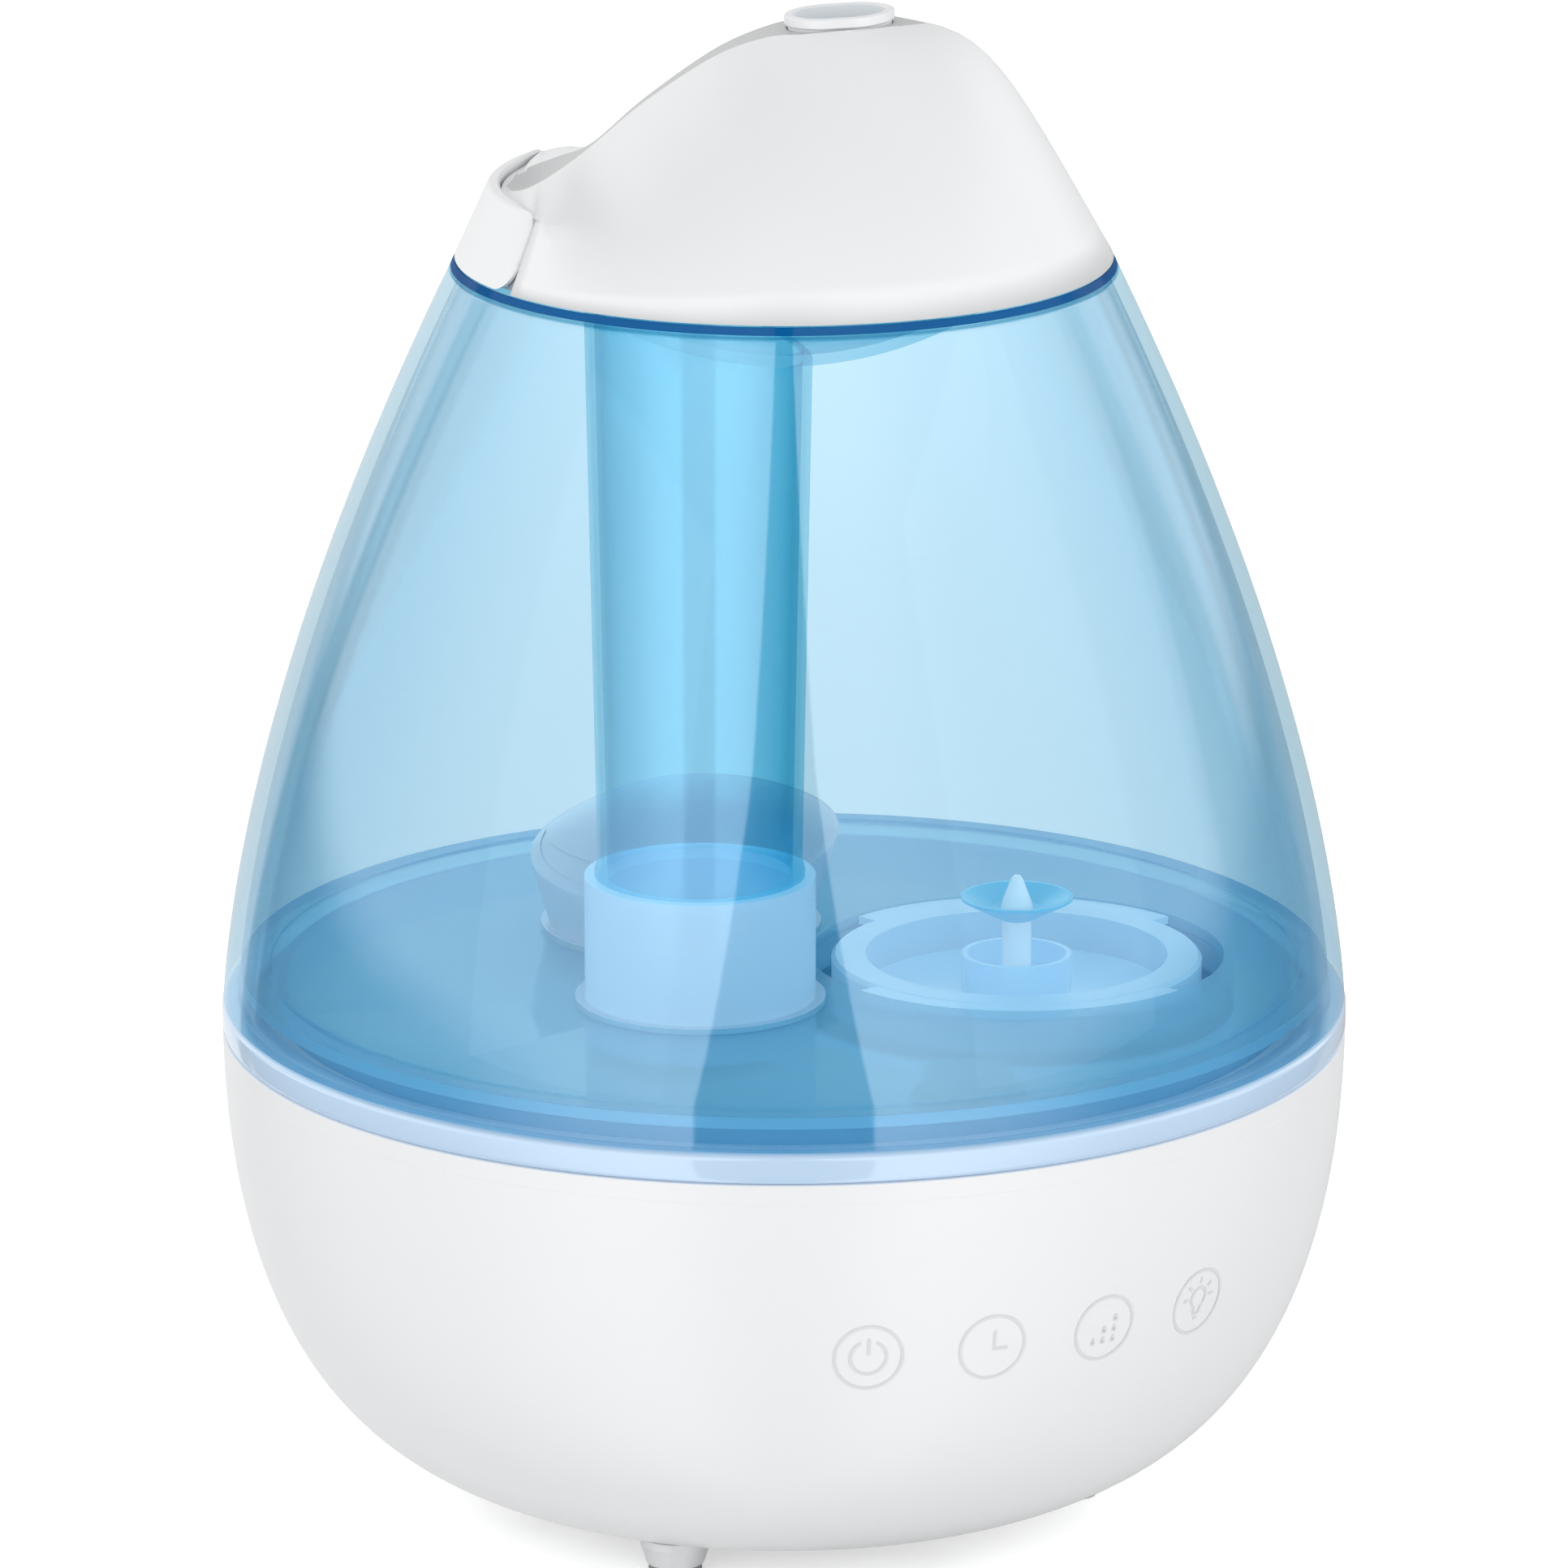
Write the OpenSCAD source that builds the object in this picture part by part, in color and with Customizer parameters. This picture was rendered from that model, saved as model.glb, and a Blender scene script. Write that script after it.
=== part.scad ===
// Cool mist humidifier: a bowl-shaped base, a clear tapering water tank that lifts off it,
// and a white swooping lid that turns on the tank.
// Frame: origin on the floor under the centre, +Z up, the touch icons face -Y.

/* [Outline] */
// Largest radius of the body, where the tank meets the base
body_r = 115; // [105:1:125]
// Height of the base shell above the floor, feet included
base_h = 100; // [94:1:110]
// Height of the tank above the base shell
tank_h = 159.4; // [140:1:180]
// Radius of the tank at its top rim
tank_top_r = 66.2; // [60:0.5:74]
// Power of the curve by which the tank draws in
tank_power = 1.6; // [1.3:0.05:2]
// Height of the lid's dome above the tank rim
lid_h = 47; // [40:0.5:54]
// Gap between the floor and the lowest point of the bowl
bowl_lift = 3.3; // [2.5:0.1:5]

/* [Walls] */
// Wall of the base bowl and its cover
bowl_wall = 2.5; // [2:0.1:3.5]
// Wall of the clear tank
tank_wall = 3; // [2.4:0.1:4]
// Wall of the lid's dome
lid_wall = 2.2; // [1.8:0.1:3]
// Thickness of the tray's floor and walls
tray_wall = 2.4; // [2:0.1:3]
// Gap left between pieces that come apart
part_gap = 0.3; // [0.3:0.05:0.6]
// Gap left between pieces that are fixed together
seat_gap = 0.1; // [0.05:0.05:0.2]

/* [Light ring] */
// Height of the light ring
ring_h = 6.2; // [5:0.1:8]
// Radial depth of the light ring
ring_depth = 7.2; // [6.5:0.1:9]
// Number of lamps on the ring board
lamp_count = 12; // [6:1:18]
// Height of the tray's rim band under the light ring
band_h = 4; // [3:0.5:6]

/* [Tank floor] */
// Thickness of the tank floor
floor_t = 2.5; // [2:0.1:3.2]
// Distance of the tank's hanging skirt from the widest outline
skirt_inset = 11.4; // [10.5:0.1:13]
// Height of the tank floor's top above the light ring
floor_rise = 6.5; // [5.5:0.5:8]
// Depth of the round trough under the tank, below the tray's rim
trough_depth = 16; // [13:0.5:18]

/* [Fill cap] */
// Place of the fill cap, left to right
cap_x = 43.3; // [41:0.5:45]
// Place of the fill cap, front to back
cap_y = -20.4; // [-23:0.5:-18]
// Radius of the fill opening
fill_r = 42.5; // [41:0.5:43.5]
// Radius of the cap's raised ring
cap_ring_r = 38; // [36:0.5:38.5]
// Width of the cap's raised ring
cap_ring_w = 7; // [5:0.5:9]
// Depth of the cap's disc below the tank floor
cap_disc_drop = 7.7; // [6:0.1:9]
// Half angle of each bayonet lug
lug_half = 50; // [35:1:55]
// Outer radius of the valve cup
cup_r = 11.3; // [10:0.1:13]
// Wall of the valve cup
cup_wall = 1.1; // [0.8:0.1:1.6]

/* [Valve] */
// Radius of the valve stem
stem_r = 3; // [2.5:0.1:3.5]
// Radial clearance of the stem in its guide
stem_clear = 0.08; // [0.05:0.01:0.1]
// Travel of the valve from open to closed
valve_travel = 10.5; // [9:0.5:12]
// Wire diameter of the valve spring
spring_wire = 0.6; // [0.4:0.05:0.65]

/* [Mist tower and chimney] */
// Place of the chimney, left to right
chimney_x = -30; // [-32:0.5:-28]
// Place of the chimney, front to back
chimney_y = -18.2; // [-20:0.2:-16]
// Outer radius of the chimney at its foot
chimney_r = 20.6; // [19:0.1:21.5]
// Outer radius of the chimney at its top
chimney_top_r = 22.8; // [21:0.1:24]
// Wall of the chimney
chimney_wall = 2; // [1.6:0.1:2.5]
// Outer radius of the tower under the chimney
riser_r = 23.3; // [22.5:0.1:24]
// Height of that tower above the tank floor
riser_h = 26.4; // [22:0.2:30]
// Place of the tower's rear lobe, left to right
lobe_x = -6.5; // [-8:0.5:-5]
// Place of the tower's rear lobe, front to back
lobe_y = 31.4; // [29:0.2:34]
// Radius of the rear lobe at the tank floor
lobe_foot_r = 27; // [25:0.5:28]
// Radius of the rear lobe at its shoulder
lobe_r = 31.9; // [29:0.1:33]
// Height of the rear lobe's shoulder above the tank floor
lobe_shoulder = 18; // [15:0.5:20]
// Rise of the rear lobe's crowned top above its shoulder
lobe_crown = 9.7; // [7:0.1:12]
// Tilt of the crowned top
lobe_tilt = 8; // [0:1:12]
// Width of the passage between the two lobes
neck_w = 34; // [28:1:38]
// Wall of the tower
tower_wall = 2; // [1.6:0.1:2.4]

/* [Ceiling] */
// Radius of curvature of the ceiling's dish
dish_r = 75.4; // [70:0.5:82]
// Depth of the dish below the flat rim, measured at its underside
dish_depth = 18.7; // [14:0.1:20]
// Thickness of the ceiling
ceiling_t = 2.2; // [1.8:0.1:2.8]

/* [Lid] */
// Direction that the lid's hump points, turned from +X
lid_turn = -30; // [-180:5:180]
// Half width of the deck beside the nozzle
deck_w = 9.5; // [9:0.1:11]
// Half width of the deck at its waist
waist_w = 1.6; // [1.5:0.1:4]
// Half width of the spoon-shaped tongue
spoon_w = 10.6; // [9:0.1:12]
// Depth of the dish in the tongue
spoon_dish = 2; // [0:0.1:2.4]
// Height of the grip strip
grip_h = 15.2; // [12:0.2:17]
// Thickness of the grip strip
grip_t = 2.6; // [2.2:0.1:3]
// Gap between the grip strip and the tongue
grip_gap = 1; // [0.8:0.1:1.6]
// Half angle that the grip strip spans
grip_half = 34; // [30:1:36]
// Angle over which each end of the grip strip rounds off
grip_nose = 3; // [2:0.5:6]
// Corner radii of the grip strip's ends, at the bottom and at the top
grip_corner = [5, 3];

/* [Nozzle] */
// Distance of the nozzle from the lid's axis
nozzle_x = 11.1; // [9:0.1:12]
// Half length of the nozzle's opening
nozzle_half = 9.1; // [8.5:0.1:10]
// Height of the nozzle's ring above the deck
nozzle_rise = 2.3; // [1.5:0.1:4]
// Wall of the nozzle's ring
nozzle_wall = 2; // [1.6:0.1:2.2]
// Depth of the nozzle's throat below the deck
throat_h = 14; // [8:1:20]

/* [Fan] */
// Width of the square fan frame
fan_w = 50; // [46:1:52]
// Height of the fan frame
fan_h = 15; // [12:1:18]
// Height of the fan above the floor
fan_z = 30; // [26:1:32]
// Number of impeller blades
blade_count = 7; // [5:1:9]
// Radius of the impeller's hub
hub_r = 11; // [10:0.5:12]
// Radius of the impeller's shaft
shaft_r = 1; // [0.8:0.1:1.2]

/* [Float] */
// Place of the float, left to right
float_x = 2.8; // [0:0.2:4]
// Place of the float, front to back
float_y = -68.6; // [-71:0.2:-67]
// Radius of the float's puck
float_r = 9; // [8:0.1:10]
// Radius of the float's rim
float_rim_r = 11.7; // [11:0.1:12]
// Travel of the float
float_travel = 3.5; // [2:0.5:4]

/* [Feet and cover] */
// Radius of the bottom cover
cover_r = 67.6; // [66:0.2:69]
// Distance of each foot from the centre
foot_ring_r = 60; // [58:0.5:60]
// Angle of each foot from the front or back
foot_angle = 51.5; // [48:0.5:56]
// Radius of a foot where it leaves the cover
foot_r = 7.2; // [6:0.1:7.2]
// Radius of a foot's rubber pad
pad_r = 5.4; // [4.5:0.1:5.8]
// Thickness of a foot's rubber pad
pad_t = 2; // [1.5:0.1:2.5]

/* [Boards] */
// Thickness of every circuit board
board_t = 1.6; // [1:0.2:2]
// Main board, length and width
main_board_size = [44, 34];
// Driver board, length and width
driver_board_size = [36, 32];
// Height of the touch board
touch_board_h = 22; // [16:1:24]
// Angle between neighbouring touch icons
icon_step = 13.5; // [12:0.5:15]
// Height of the touch icons above the floor
icon_z = 60; // [55:1:64]

/* [Hidden] */
$fn = 96;
eps = 0.01;

// heights, from the floor up
widest_z = base_h + 4;                      // widest level of the base's curve
bowl_drop = widest_z - bowl_lift;           // depth of that curve
bowl_power = [4.25, 2.22];                  // powers of the base's curve, across and up
bowl_rim_z = base_h - band_h;
ring_top_z = base_h + ring_h;
tank_z = ring_top_z + part_gap;             // lowest edge of the tank
floor_z = ring_top_z + floor_rise;          // top face of the tank floor
tank_top_z = base_h + tank_h;
lid_z = tank_top_z + part_gap;
trough_z = base_h - trough_depth;           // top face of the tray's floor
tray_under_z = trough_z - tray_wall;
cap_disc_z = floor_z - 0.2 - cap_disc_drop;
cap_top_z = floor_z - 0.2;
neck_h = 7.2;                               // depth of the fill neck below the floor
neck_wall = 2.2;
neck_end_z = floor_z - floor_t - neck_h;
seal_t = 1.2;
cap_flange_z = neck_end_z - seal_t - 2 * seat_gap;
cap_flange_t = 2.2;
riser_z = floor_z + riser_h;
ceiling_z = tank_top_z;                     // top face of the ceiling's flat rim
shell_top_z = tank_top_z - ceiling_t - seat_gap;
dish_zc = ceiling_z - ceiling_t - dish_depth + dish_r;
tower_drop = 7;                             // depth of the tower below the floor's top
skirt_t = 1.9;
shelf = 0.6;                                // gap between the tank's skirt and the tray
weld_r = body_r - skirt_inset;              // outside of that skirt

// ---- outlines ----
// point of the base's curve at parameter a, shrunk by w
function bowl_pt(a, w = 0) = [(body_r - w) * pow(cos(a), 2 / bowl_power[0]),
                              widest_z - (bowl_drop - w) * pow(sin(a), 2 / bowl_power[1])];
function bowl_a(z, w = 0) = asin(pow((widest_z - z) / (bowl_drop - w), bowl_power[1] / 2));
function bowl_a_r(r, w = 0) = acos(pow(r / (body_r - w), bowl_power[0] / 2));
function bowl_r(z, w = 0) = bowl_pt(bowl_a(z, w), w)[0];
function bowl_arc(a0, a1, n, w = 0) = [for (i = [0:n]) bowl_pt(a0 + (a1 - a0) * i / n, w)];
// radius of the tank's outside at height z
function tank_r(z) = body_r - (body_r - tank_top_r) * pow((z - base_h) / tank_h, tank_power);
function tank_curve(z0, z1, n, w = 0) = [for (i = [0:n]) let (z = z0 + (z1 - z0) * i / n) [tank_r(z) - w, z]];
function reversed(p) = [for (i = [len(p) - 1:-1:0]) p[i]];
function arc_pts(c, r, a0, a1, n) = [for (i = [0:n]) let (a = a0 + (a1 - a0) * i / n)
                                     [c[0] + r * cos(a), c[1] + r * sin(a)]];

module at_cap() translate([cap_x, cap_y, 0]) children();
module at_chimney() translate([chimney_x, chimney_y, 0]) children();
module at_lobe() translate([lobe_x, lobe_y, 0]) children();
module at_float() translate([float_x, float_y, 0]) children();
module in_lid() rotate([0, 0, lid_turn]) children();
module tube(r, wall, z0, z1) translate([0, 0, z0]) difference() {
    cylinder(r = r, h = z1 - z0);
    translate([0, 0, -1]) cylinder(r = r - wall, h = z1 - z0 + 2);
}
module rod(r, z0, z1) translate([0, 0, z0]) cylinder(r = r, h = z1 - z0);
module ring_sector(r0, r1, z0, z1, a, half) rotate([0, 0, a - half]) translate([0, 0, z0])
    rotate_extrude(angle = 2 * half) translate([r0, 0]) square([r1 - r0, z1 - z0]);
module plate(size, t, z) translate([-size[0] / 2, -size[1] / 2, z]) cube([size[0], size[1], t]);

// ---- base ----
post_spots = [[58, 0], [-58, 0], [0, -58], [30, 50]];
post_r = 4;
screw_r = 1.4;
screw_head = [3.2, 2.4];
inlet_z = 30;
inlet_r = 4.6;
inlet_dish_r = 9;
touch_spring_r = 4;
rail_w = 4;
outer_icon_x = (body_r - bowl_wall) * sin(1.5 * icon_step);
touch_half = outer_icon_x + touch_spring_r + 2 * part_gap + rail_w / 2;    // half length of the touch board
touch_board_y = board_t / 2 + part_gap
    - sqrt(pow(bowl_r(icon_z - touch_board_h / 2, bowl_wall), 2) - pow(touch_half, 2));
main_board_at = [32, -24, 24];
driver_board_at = [-34, -22, 36];
transducer_r = 10;
seal_rim = 4;
well_r = 9;

module base_bowl() color([0.95, 0.95, 0.95]) {
    outer_open = bowl_a_r(cover_r + part_gap);
    inner_open = bowl_a_r(cover_r + part_gap, bowl_wall);
    difference() {
        rotate_extrude() polygon(concat(bowl_arc(bowl_a(bowl_rim_z), outer_open, 30),
            reversed(bowl_arc(bowl_a(bowl_rim_z, bowl_wall), inner_open, 30, bowl_wall))));
        translate([0, 0, inlet_z]) rotate([-90, 0, 0]) cylinder(r = inlet_r + seat_gap, h = body_r);
        translate([0, bowl_r(inlet_z) - 1, inlet_z]) rotate([-90, 0, 0]) cylinder(r = inlet_dish_r, h = 20);
    }
    board_rails();
}

// two grooved rails that hold the ends of the touch board
module board_rails() {
    for (side = [-1, 1]) difference() {
        intersection() {
            translate([side * touch_half - rail_w / 2, -body_r, icon_z - touch_board_h / 2 - 3])
                cube([rail_w, body_r + touch_board_y + 4, touch_board_h + 6]);
            rod(bowl_r(icon_z - touch_board_h / 2 - 3, bowl_wall / 2), 0, base_h);
        }
        translate([side * touch_half - 10, touch_board_y - board_t / 2 - seat_gap, 0])
            translate([-side * 10, 0, icon_z - touch_board_h / 2 - seat_gap])
            cube([20, board_t + 2 * seat_gap, touch_board_h + 2 * seat_gap]);
    }
}

grille_slots = 9;
grille_pitch = 5;

module bottom_cover() color([0.93, 0.93, 0.93]) difference() {
    union() {
        rotate_extrude() polygon(concat([[0, bowl_lift]], reversed(bowl_arc(bowl_a_r(cover_r), 89, 24)),
            bowl_arc(bowl_a_r(cover_r, bowl_wall), 89, 24, bowl_wall), [[0, bowl_lift + bowl_wall]]));
        foot_bosses();
        for (p = post_spots) translate(p) rod(post_r, cover_floor(norm(p)), post_foot_z);
    }
    for (i = [0:grille_slots - 1]) grille_slot((i - (grille_slots - 1) / 2) * grille_pitch);
    for (p = post_spots) translate(p) {
        rod(screw_r + part_gap, 0, 40);
        rod(screw_head[0] + part_gap, 0, screw_seat_z);
    }
}

post_foot_z = 14;                            // where the cover's bosses meet the tray's posts
screw_seat_z = 10.5;
function cover_floor(r) = bowl_pt(bowl_a_r(r, bowl_wall), bowl_wall)[1] - 1;
function cover_top(r) = bowl_pt(bowl_a_r(r, bowl_wall), bowl_wall)[1] + seat_gap;

module foot_bosses() for (side = [-1, 1], end = [0, 180])
    rotate([0, 0, end + side * foot_angle - 90]) translate([foot_ring_r, 0, 0]) {
        translate([0, 0, pad_t]) cylinder(r1 = pad_r + 0.5, r2 = foot_r, h = 4);
        rod(foot_r, pad_t + 4 - eps, cover_floor(foot_ring_r - foot_r) + 1);
    }

module grille_slot(x) translate([lobe_x + x, lobe_y, -1]) {
    length = 2 * sqrt(pow(fan_w / 2 - 2, 2) - x * x);
    translate([-1.3, -length / 2, 0]) cube([2.6, length, 14]);
}

module standoffs() color([0.93, 0.93, 0.93]) {
    board_posts();
    fan_posts();
}

module board_posts() for (b = [[main_board_at, main_board_size], [driver_board_at, driver_board_size]],
                           sx = [-1, 1], sy = [-1, 1]) {
    p = [b[0][0] + sx * (b[1][0] / 2 - 4), b[0][1] + sy * (b[1][1] / 2 - 4)];
    translate(p) rod(2.5, cover_top(norm(p) + 2.5), b[0][2] - seat_gap);
}

module fan_posts() for (sx = [-1, 1], sy = [-1, 1]) {
    p = [lobe_x + sx * (fan_w / 2 - 4.5), lobe_y + sy * (fan_w / 2 - 4.5)];
    translate(p) {
        rod(3, cover_top(norm(p) + 3), fan_z - seat_gap);
        rod(1.6, fan_z - 1, fan_z + 6);
    }
}

module foot_pads() color([0.55, 0.56, 0.58]) for (side = [-1, 1], end = [0, 180])
    rotate([0, 0, end + side * foot_angle - 90]) translate([foot_ring_r, 0, 0])
        rod(pad_r, 0, pad_t - seat_gap);

module cover_screws() color("silver") for (p = post_spots) translate(p) difference() {
    union() {
        rod(screw_head[0], screw_seat_z - screw_head[1], screw_seat_z - seat_gap);
        rod(screw_r, screw_seat_z - seat_gap - eps, post_foot_z + 10);
    }
    translate([-0.4, -2, screw_seat_z - screw_head[1] - 1]) cube([0.8, 4, 2]);
}

spigot_h = 4.5;                              // height of the tray's rim above the base shell
tray_r = body_r - ring_depth - part_gap;     // outside of that rim

module base_tray() color([0.94, 0.95, 0.96]) difference() {
    union() {
        rotate_extrude() polygon(concat([[0, tray_under_z], [weld_r - 2 + tray_wall / 2, tray_under_z],
            [tray_r - 0.6, bowl_rim_z + seat_gap]],
            [[bowl_r(bowl_rim_z + seat_gap), bowl_rim_z + seat_gap], [body_r, base_h], [tray_r, base_h],
             [tray_r, base_h + spigot_h], [weld_r + shelf, base_h + spigot_h],
             [weld_r + shelf, base_h - 3], [weld_r - 3, trough_z], [0, trough_z]]));
        at_cap() valve_pin();
    }
    at_lobe() rod(duct_r + tray_wall + seat_gap, tray_under_z - 1, trough_z + 1);
    at_chimney() rod(well_r, tray_under_z - 1, trough_z + 1);
}

// tube that carries the fan's air up through the water
module air_stack() color([0.94, 0.95, 0.96]) at_lobe() {
    tube(duct_r + tray_wall, tray_wall, tray_under_z, duct_top_z);
    tube(duct_r + tray_wall + 3, 3 + eps, trough_z + seat_gap, trough_z + seat_gap + 1.6);
}

module float_guide() color([0.94, 0.95, 0.96]) at_float() difference() {
    rod(float_r + 0.4 + 1.8, trough_z + seat_gap, float_rest_z);
    rod(float_r + 0.4, trough_z, float_rest_z + 1);
    for (i = [0:2]) rotate([0, 0, i * 120]) translate([0, -2, trough_z + 3]) cube([20, 4, 9]);
}

module base_posts() color([0.93, 0.93, 0.93]) for (p = post_spots) translate(p) difference() {
    rod(post_r, post_foot_z + seat_gap, tray_under_z - seat_gap);
    rod(screw_r + seat_gap, post_foot_z - 1, post_foot_z + 14);
}

duct_r = 13;
duct_top_z = floor_z + 6;
pin_r = 2.4;
foot_z = cap_disc_z - tray_wall - 3.3 - 2;   // underside of the stem's foot with the valve open
float_rest_z = base_h - 0.5;

module valve_pin() {
    rod(pin_r, trough_z - eps, foot_z - part_gap);
    for (i = [0:2]) rotate([0, 0, i * 120 + 30]) translate([0, -0.8, trough_z - eps])
        cube([7, 1.6, (foot_z - trough_z) * 0.6]);
}

module light_ring() color([0.78, 0.84, 0.95]) rotate_extrude() difference() {
    translate([body_r - ring_depth, base_h + seat_gap]) square([ring_depth, ring_h - seat_gap]);
    translate([body_r - ring_depth + 1.2, base_h]) square([ring_depth - 2.8, ring_h / 2]);
}

module lamp_board() {
    mid_r = body_r - ring_depth / 2 - 0.2;
    half = ring_depth / 2 - 1.9;
    color([0.1, 0.45, 0.2]) tube(mid_r + half, 2 * half, base_h + seat_gap, base_h + seat_gap + 0.8);
    color("white") for (i = [0:lamp_count - 1]) rotate([0, 0, i * 360 / lamp_count])
        translate([mid_r - 1.2, -1.5, base_h + seat_gap + 0.8 - eps]) cube([2.4, 3, 1]);
}

// ---- fan ----
module fan_frame() color([0.15, 0.15, 0.16]) at_lobe() {
    difference() {
        plate([fan_w, fan_w], fan_h, fan_z);
        rod(fan_w / 2 - 1.5, fan_z - 1, fan_z + fan_h + 1);
        for (sx = [-1, 1], sy = [-1, 1]) translate([sx * (fan_w / 2 - 4.5), sy * (fan_w / 2 - 4.5), 0])
            rod(1.6 + seat_gap, fan_z - 1, fan_z + fan_h + 1);
    }
    rod(hub_r, fan_z, fan_z + 1.6);
    for (i = [0:2]) rotate([0, 0, i * 120 + 45]) translate([hub_r - 1, -1.2, fan_z])
        cube([fan_w / 2 - hub_r, 2.4, 1.6]);
}

motor_r = hub_r - 2;
blade_pitch = 38;
module fan_motor() color([0.72, 0.45, 0.2]) at_lobe()
    tube(motor_r - 0.6, motor_r - 0.6 - shaft_r - 0.05, fan_z + 1.7, fan_z + fan_h - 4);

module impeller() color([0.2, 0.2, 0.22]) at_lobe() {
    z0 = fan_z + 2.4;
    z1 = fan_z + fan_h - 1.2;
    difference() {
        rod(hub_r, z0, z1);
        rod(motor_r, z0 - 1, z1 - 1.6);
    }
    rod(shaft_r, fan_z + 2, z1 - 1);
    intersection() {
        tube(fan_w / 2 - 2.3, fan_w / 2 - 2.3 - hub_r + 0.4, z0, z1);
        for (i = [0:blade_count - 1]) rotate([0, 0, i * 360 / blade_count])
            translate([hub_r - 1, 0, (z0 + z1) / 2]) rotate([blade_pitch, 0, 0])
            translate([0, -8, -0.6]) cube([fan_w / 2, 16, 1.2]);
    }
}

module air_duct() color([0.85, 0.86, 0.88]) at_lobe() {
    foot = fan_z + fan_h + seat_gap;
    top = tray_under_z - seat_gap;
    rotate_extrude() polygon([[fan_w / 2 - 1.5, foot], [fan_w / 2 + 0.3, foot], [fan_w / 2 + 0.3, foot + 4],
        [duct_r + tray_wall, top], [duct_r, top], [fan_w / 2 - 1.5, foot + 4]]);
}

// ---- mist generator ----
module transducer_disc() color([0.8, 0.68, 0.35]) at_chimney()
    rod(transducer_r, tray_under_z - 2.1, tray_under_z - 1.2);

module transducer_seal() color([0.12, 0.12, 0.12]) at_chimney() difference() {
    rod(transducer_r + seal_rim, tray_under_z - 3.1, tray_under_z - seat_gap);
    rod(well_r - 0.5, tray_under_z - 4, tray_under_z + 1);
    rod(transducer_r + seat_gap, tray_under_z - 2.2, tray_under_z - 1.1);
}

module transducer_retainer() color("silver") at_chimney() difference() {
    union() {
        rod(transducer_r + seal_rim + 2, tray_under_z - 5, tray_under_z - 3.2);
        tube(transducer_r + seal_rim + 2, 1.8, tray_under_z - 3.3, tray_under_z - seat_gap);
    }
    rod(well_r - 1.5, tray_under_z - 6, tray_under_z);
}

module board(size, at, c) color(c) translate([at[0], at[1], 0]) plate(size, board_t, at[2]);

module driver_board() {
    board(driver_board_size, driver_board_at, [0.08, 0.4, 0.18]);
    top = driver_board_at[2] + board_t - eps;
    color([0.1, 0.1, 0.1]) translate([driver_board_at[0] + 10, driver_board_at[1] - 8, top]) rod(4, 0, 9);
    color([0.5, 0.2, 0.1]) translate([driver_board_at[0] + 10, driver_board_at[1] + 6, top]) tube(5, 2, 0, 6);
}

module heat_sink() color([0.75, 0.76, 0.78])
    translate([driver_board_at[0] - 7, driver_board_at[1], driver_board_at[2] + board_t + seat_gap]) {
        plate([16, 26], 2, 0);
        for (i = [0:4]) translate([-7.2 + i * 3.4, -13, 2 - eps]) cube([0.9, 26, 12]);
    }

module main_board() {
    board(main_board_size, main_board_at, [0.08, 0.4, 0.18]);
    top = main_board_at[2] + board_t - eps;
    translate([main_board_at[0], main_board_at[1], top]) {
        color([0.1, 0.1, 0.12]) for (x = [-16, -6]) translate([x, 8, 0]) rod(4, 0, 12);
        color([0.1, 0.1, 0.1]) translate([4, -11, 0]) cube([12, 9, 2]);
        color([0.9, 0.8, 0.2]) translate([2, 2, 0]) cube([14, 10, 11]);
        color([0.9, 0.9, 0.85]) for (x = [-19, -8]) translate([x, -14, 0]) cube([8, 5, 7]);
    }
}

module touch_board() color([0.08, 0.4, 0.18])
    translate([-touch_half + seat_gap, touch_board_y - board_t / 2, icon_z - touch_board_h / 2])
        cube([2 * (touch_half - seat_gap), board_t, touch_board_h]);

// springs that carry the touch of each icon from the wall to the board
module touch_springs() color("silver") for (i = [-1.5:1:1.5]) {
    x = (body_r - bowl_wall) * sin(i * icon_step);
    wall_y = -sqrt(pow(bowl_r(icon_z - touch_spring_r, bowl_wall), 2) - pow(abs(x) + touch_spring_r, 2));
    length = touch_board_y - board_t / 2 - wall_y - 2 * seat_gap;
    turns = floor(length / 1.6);
    translate([x, touch_board_y - board_t / 2 - seat_gap, icon_z]) rotate([90, 0, 0]) {
        tube(3, 0.4, 0, length);
        for (k = [0:turns]) translate([0, 0, k * (length - 0.8) / turns]) tube(touch_spring_r, 1.1, 0, 0.8);
    }
}

module power_inlet() color([0.12, 0.12, 0.13])
translate([0, bowl_r(inlet_z) - 1.6, inlet_z]) rotate([90, 0, 0]) {
    difference() {
        union() {
            rod(inlet_r, 0, 8.5);
            translate([-7, -5, 8]) cube([14, 10, 8]);
        }
        rod(2.9, -1, 11);
    }
    rod(1, 1, 12);
}

// ---- float ----
module float_puck() color([0.93, 0.95, 0.97]) at_float() difference() {
    union() {
        rod(float_r, trough_z + 4, float_rest_z + 6.5);
        rod(float_rim_r, float_rest_z + part_gap, float_rest_z + part_gap + 1.4);
    }
    rod(4, trough_z + 3, trough_z + 10);
}

module float_magnet() color([0.3, 0.3, 0.32]) at_float()
    rod(4 - seat_gap, trough_z + 6, trough_z + 10 - seat_gap);

// ---- tank ----
module tank_shell() color([0.55, 0.8, 0.95, 0.5]) rotate_extrude() polygon(concat(
    tank_curve(tank_z, shell_top_z, 40), reversed(tank_curve(tank_z, shell_top_z, 40, tank_wall))));

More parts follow.
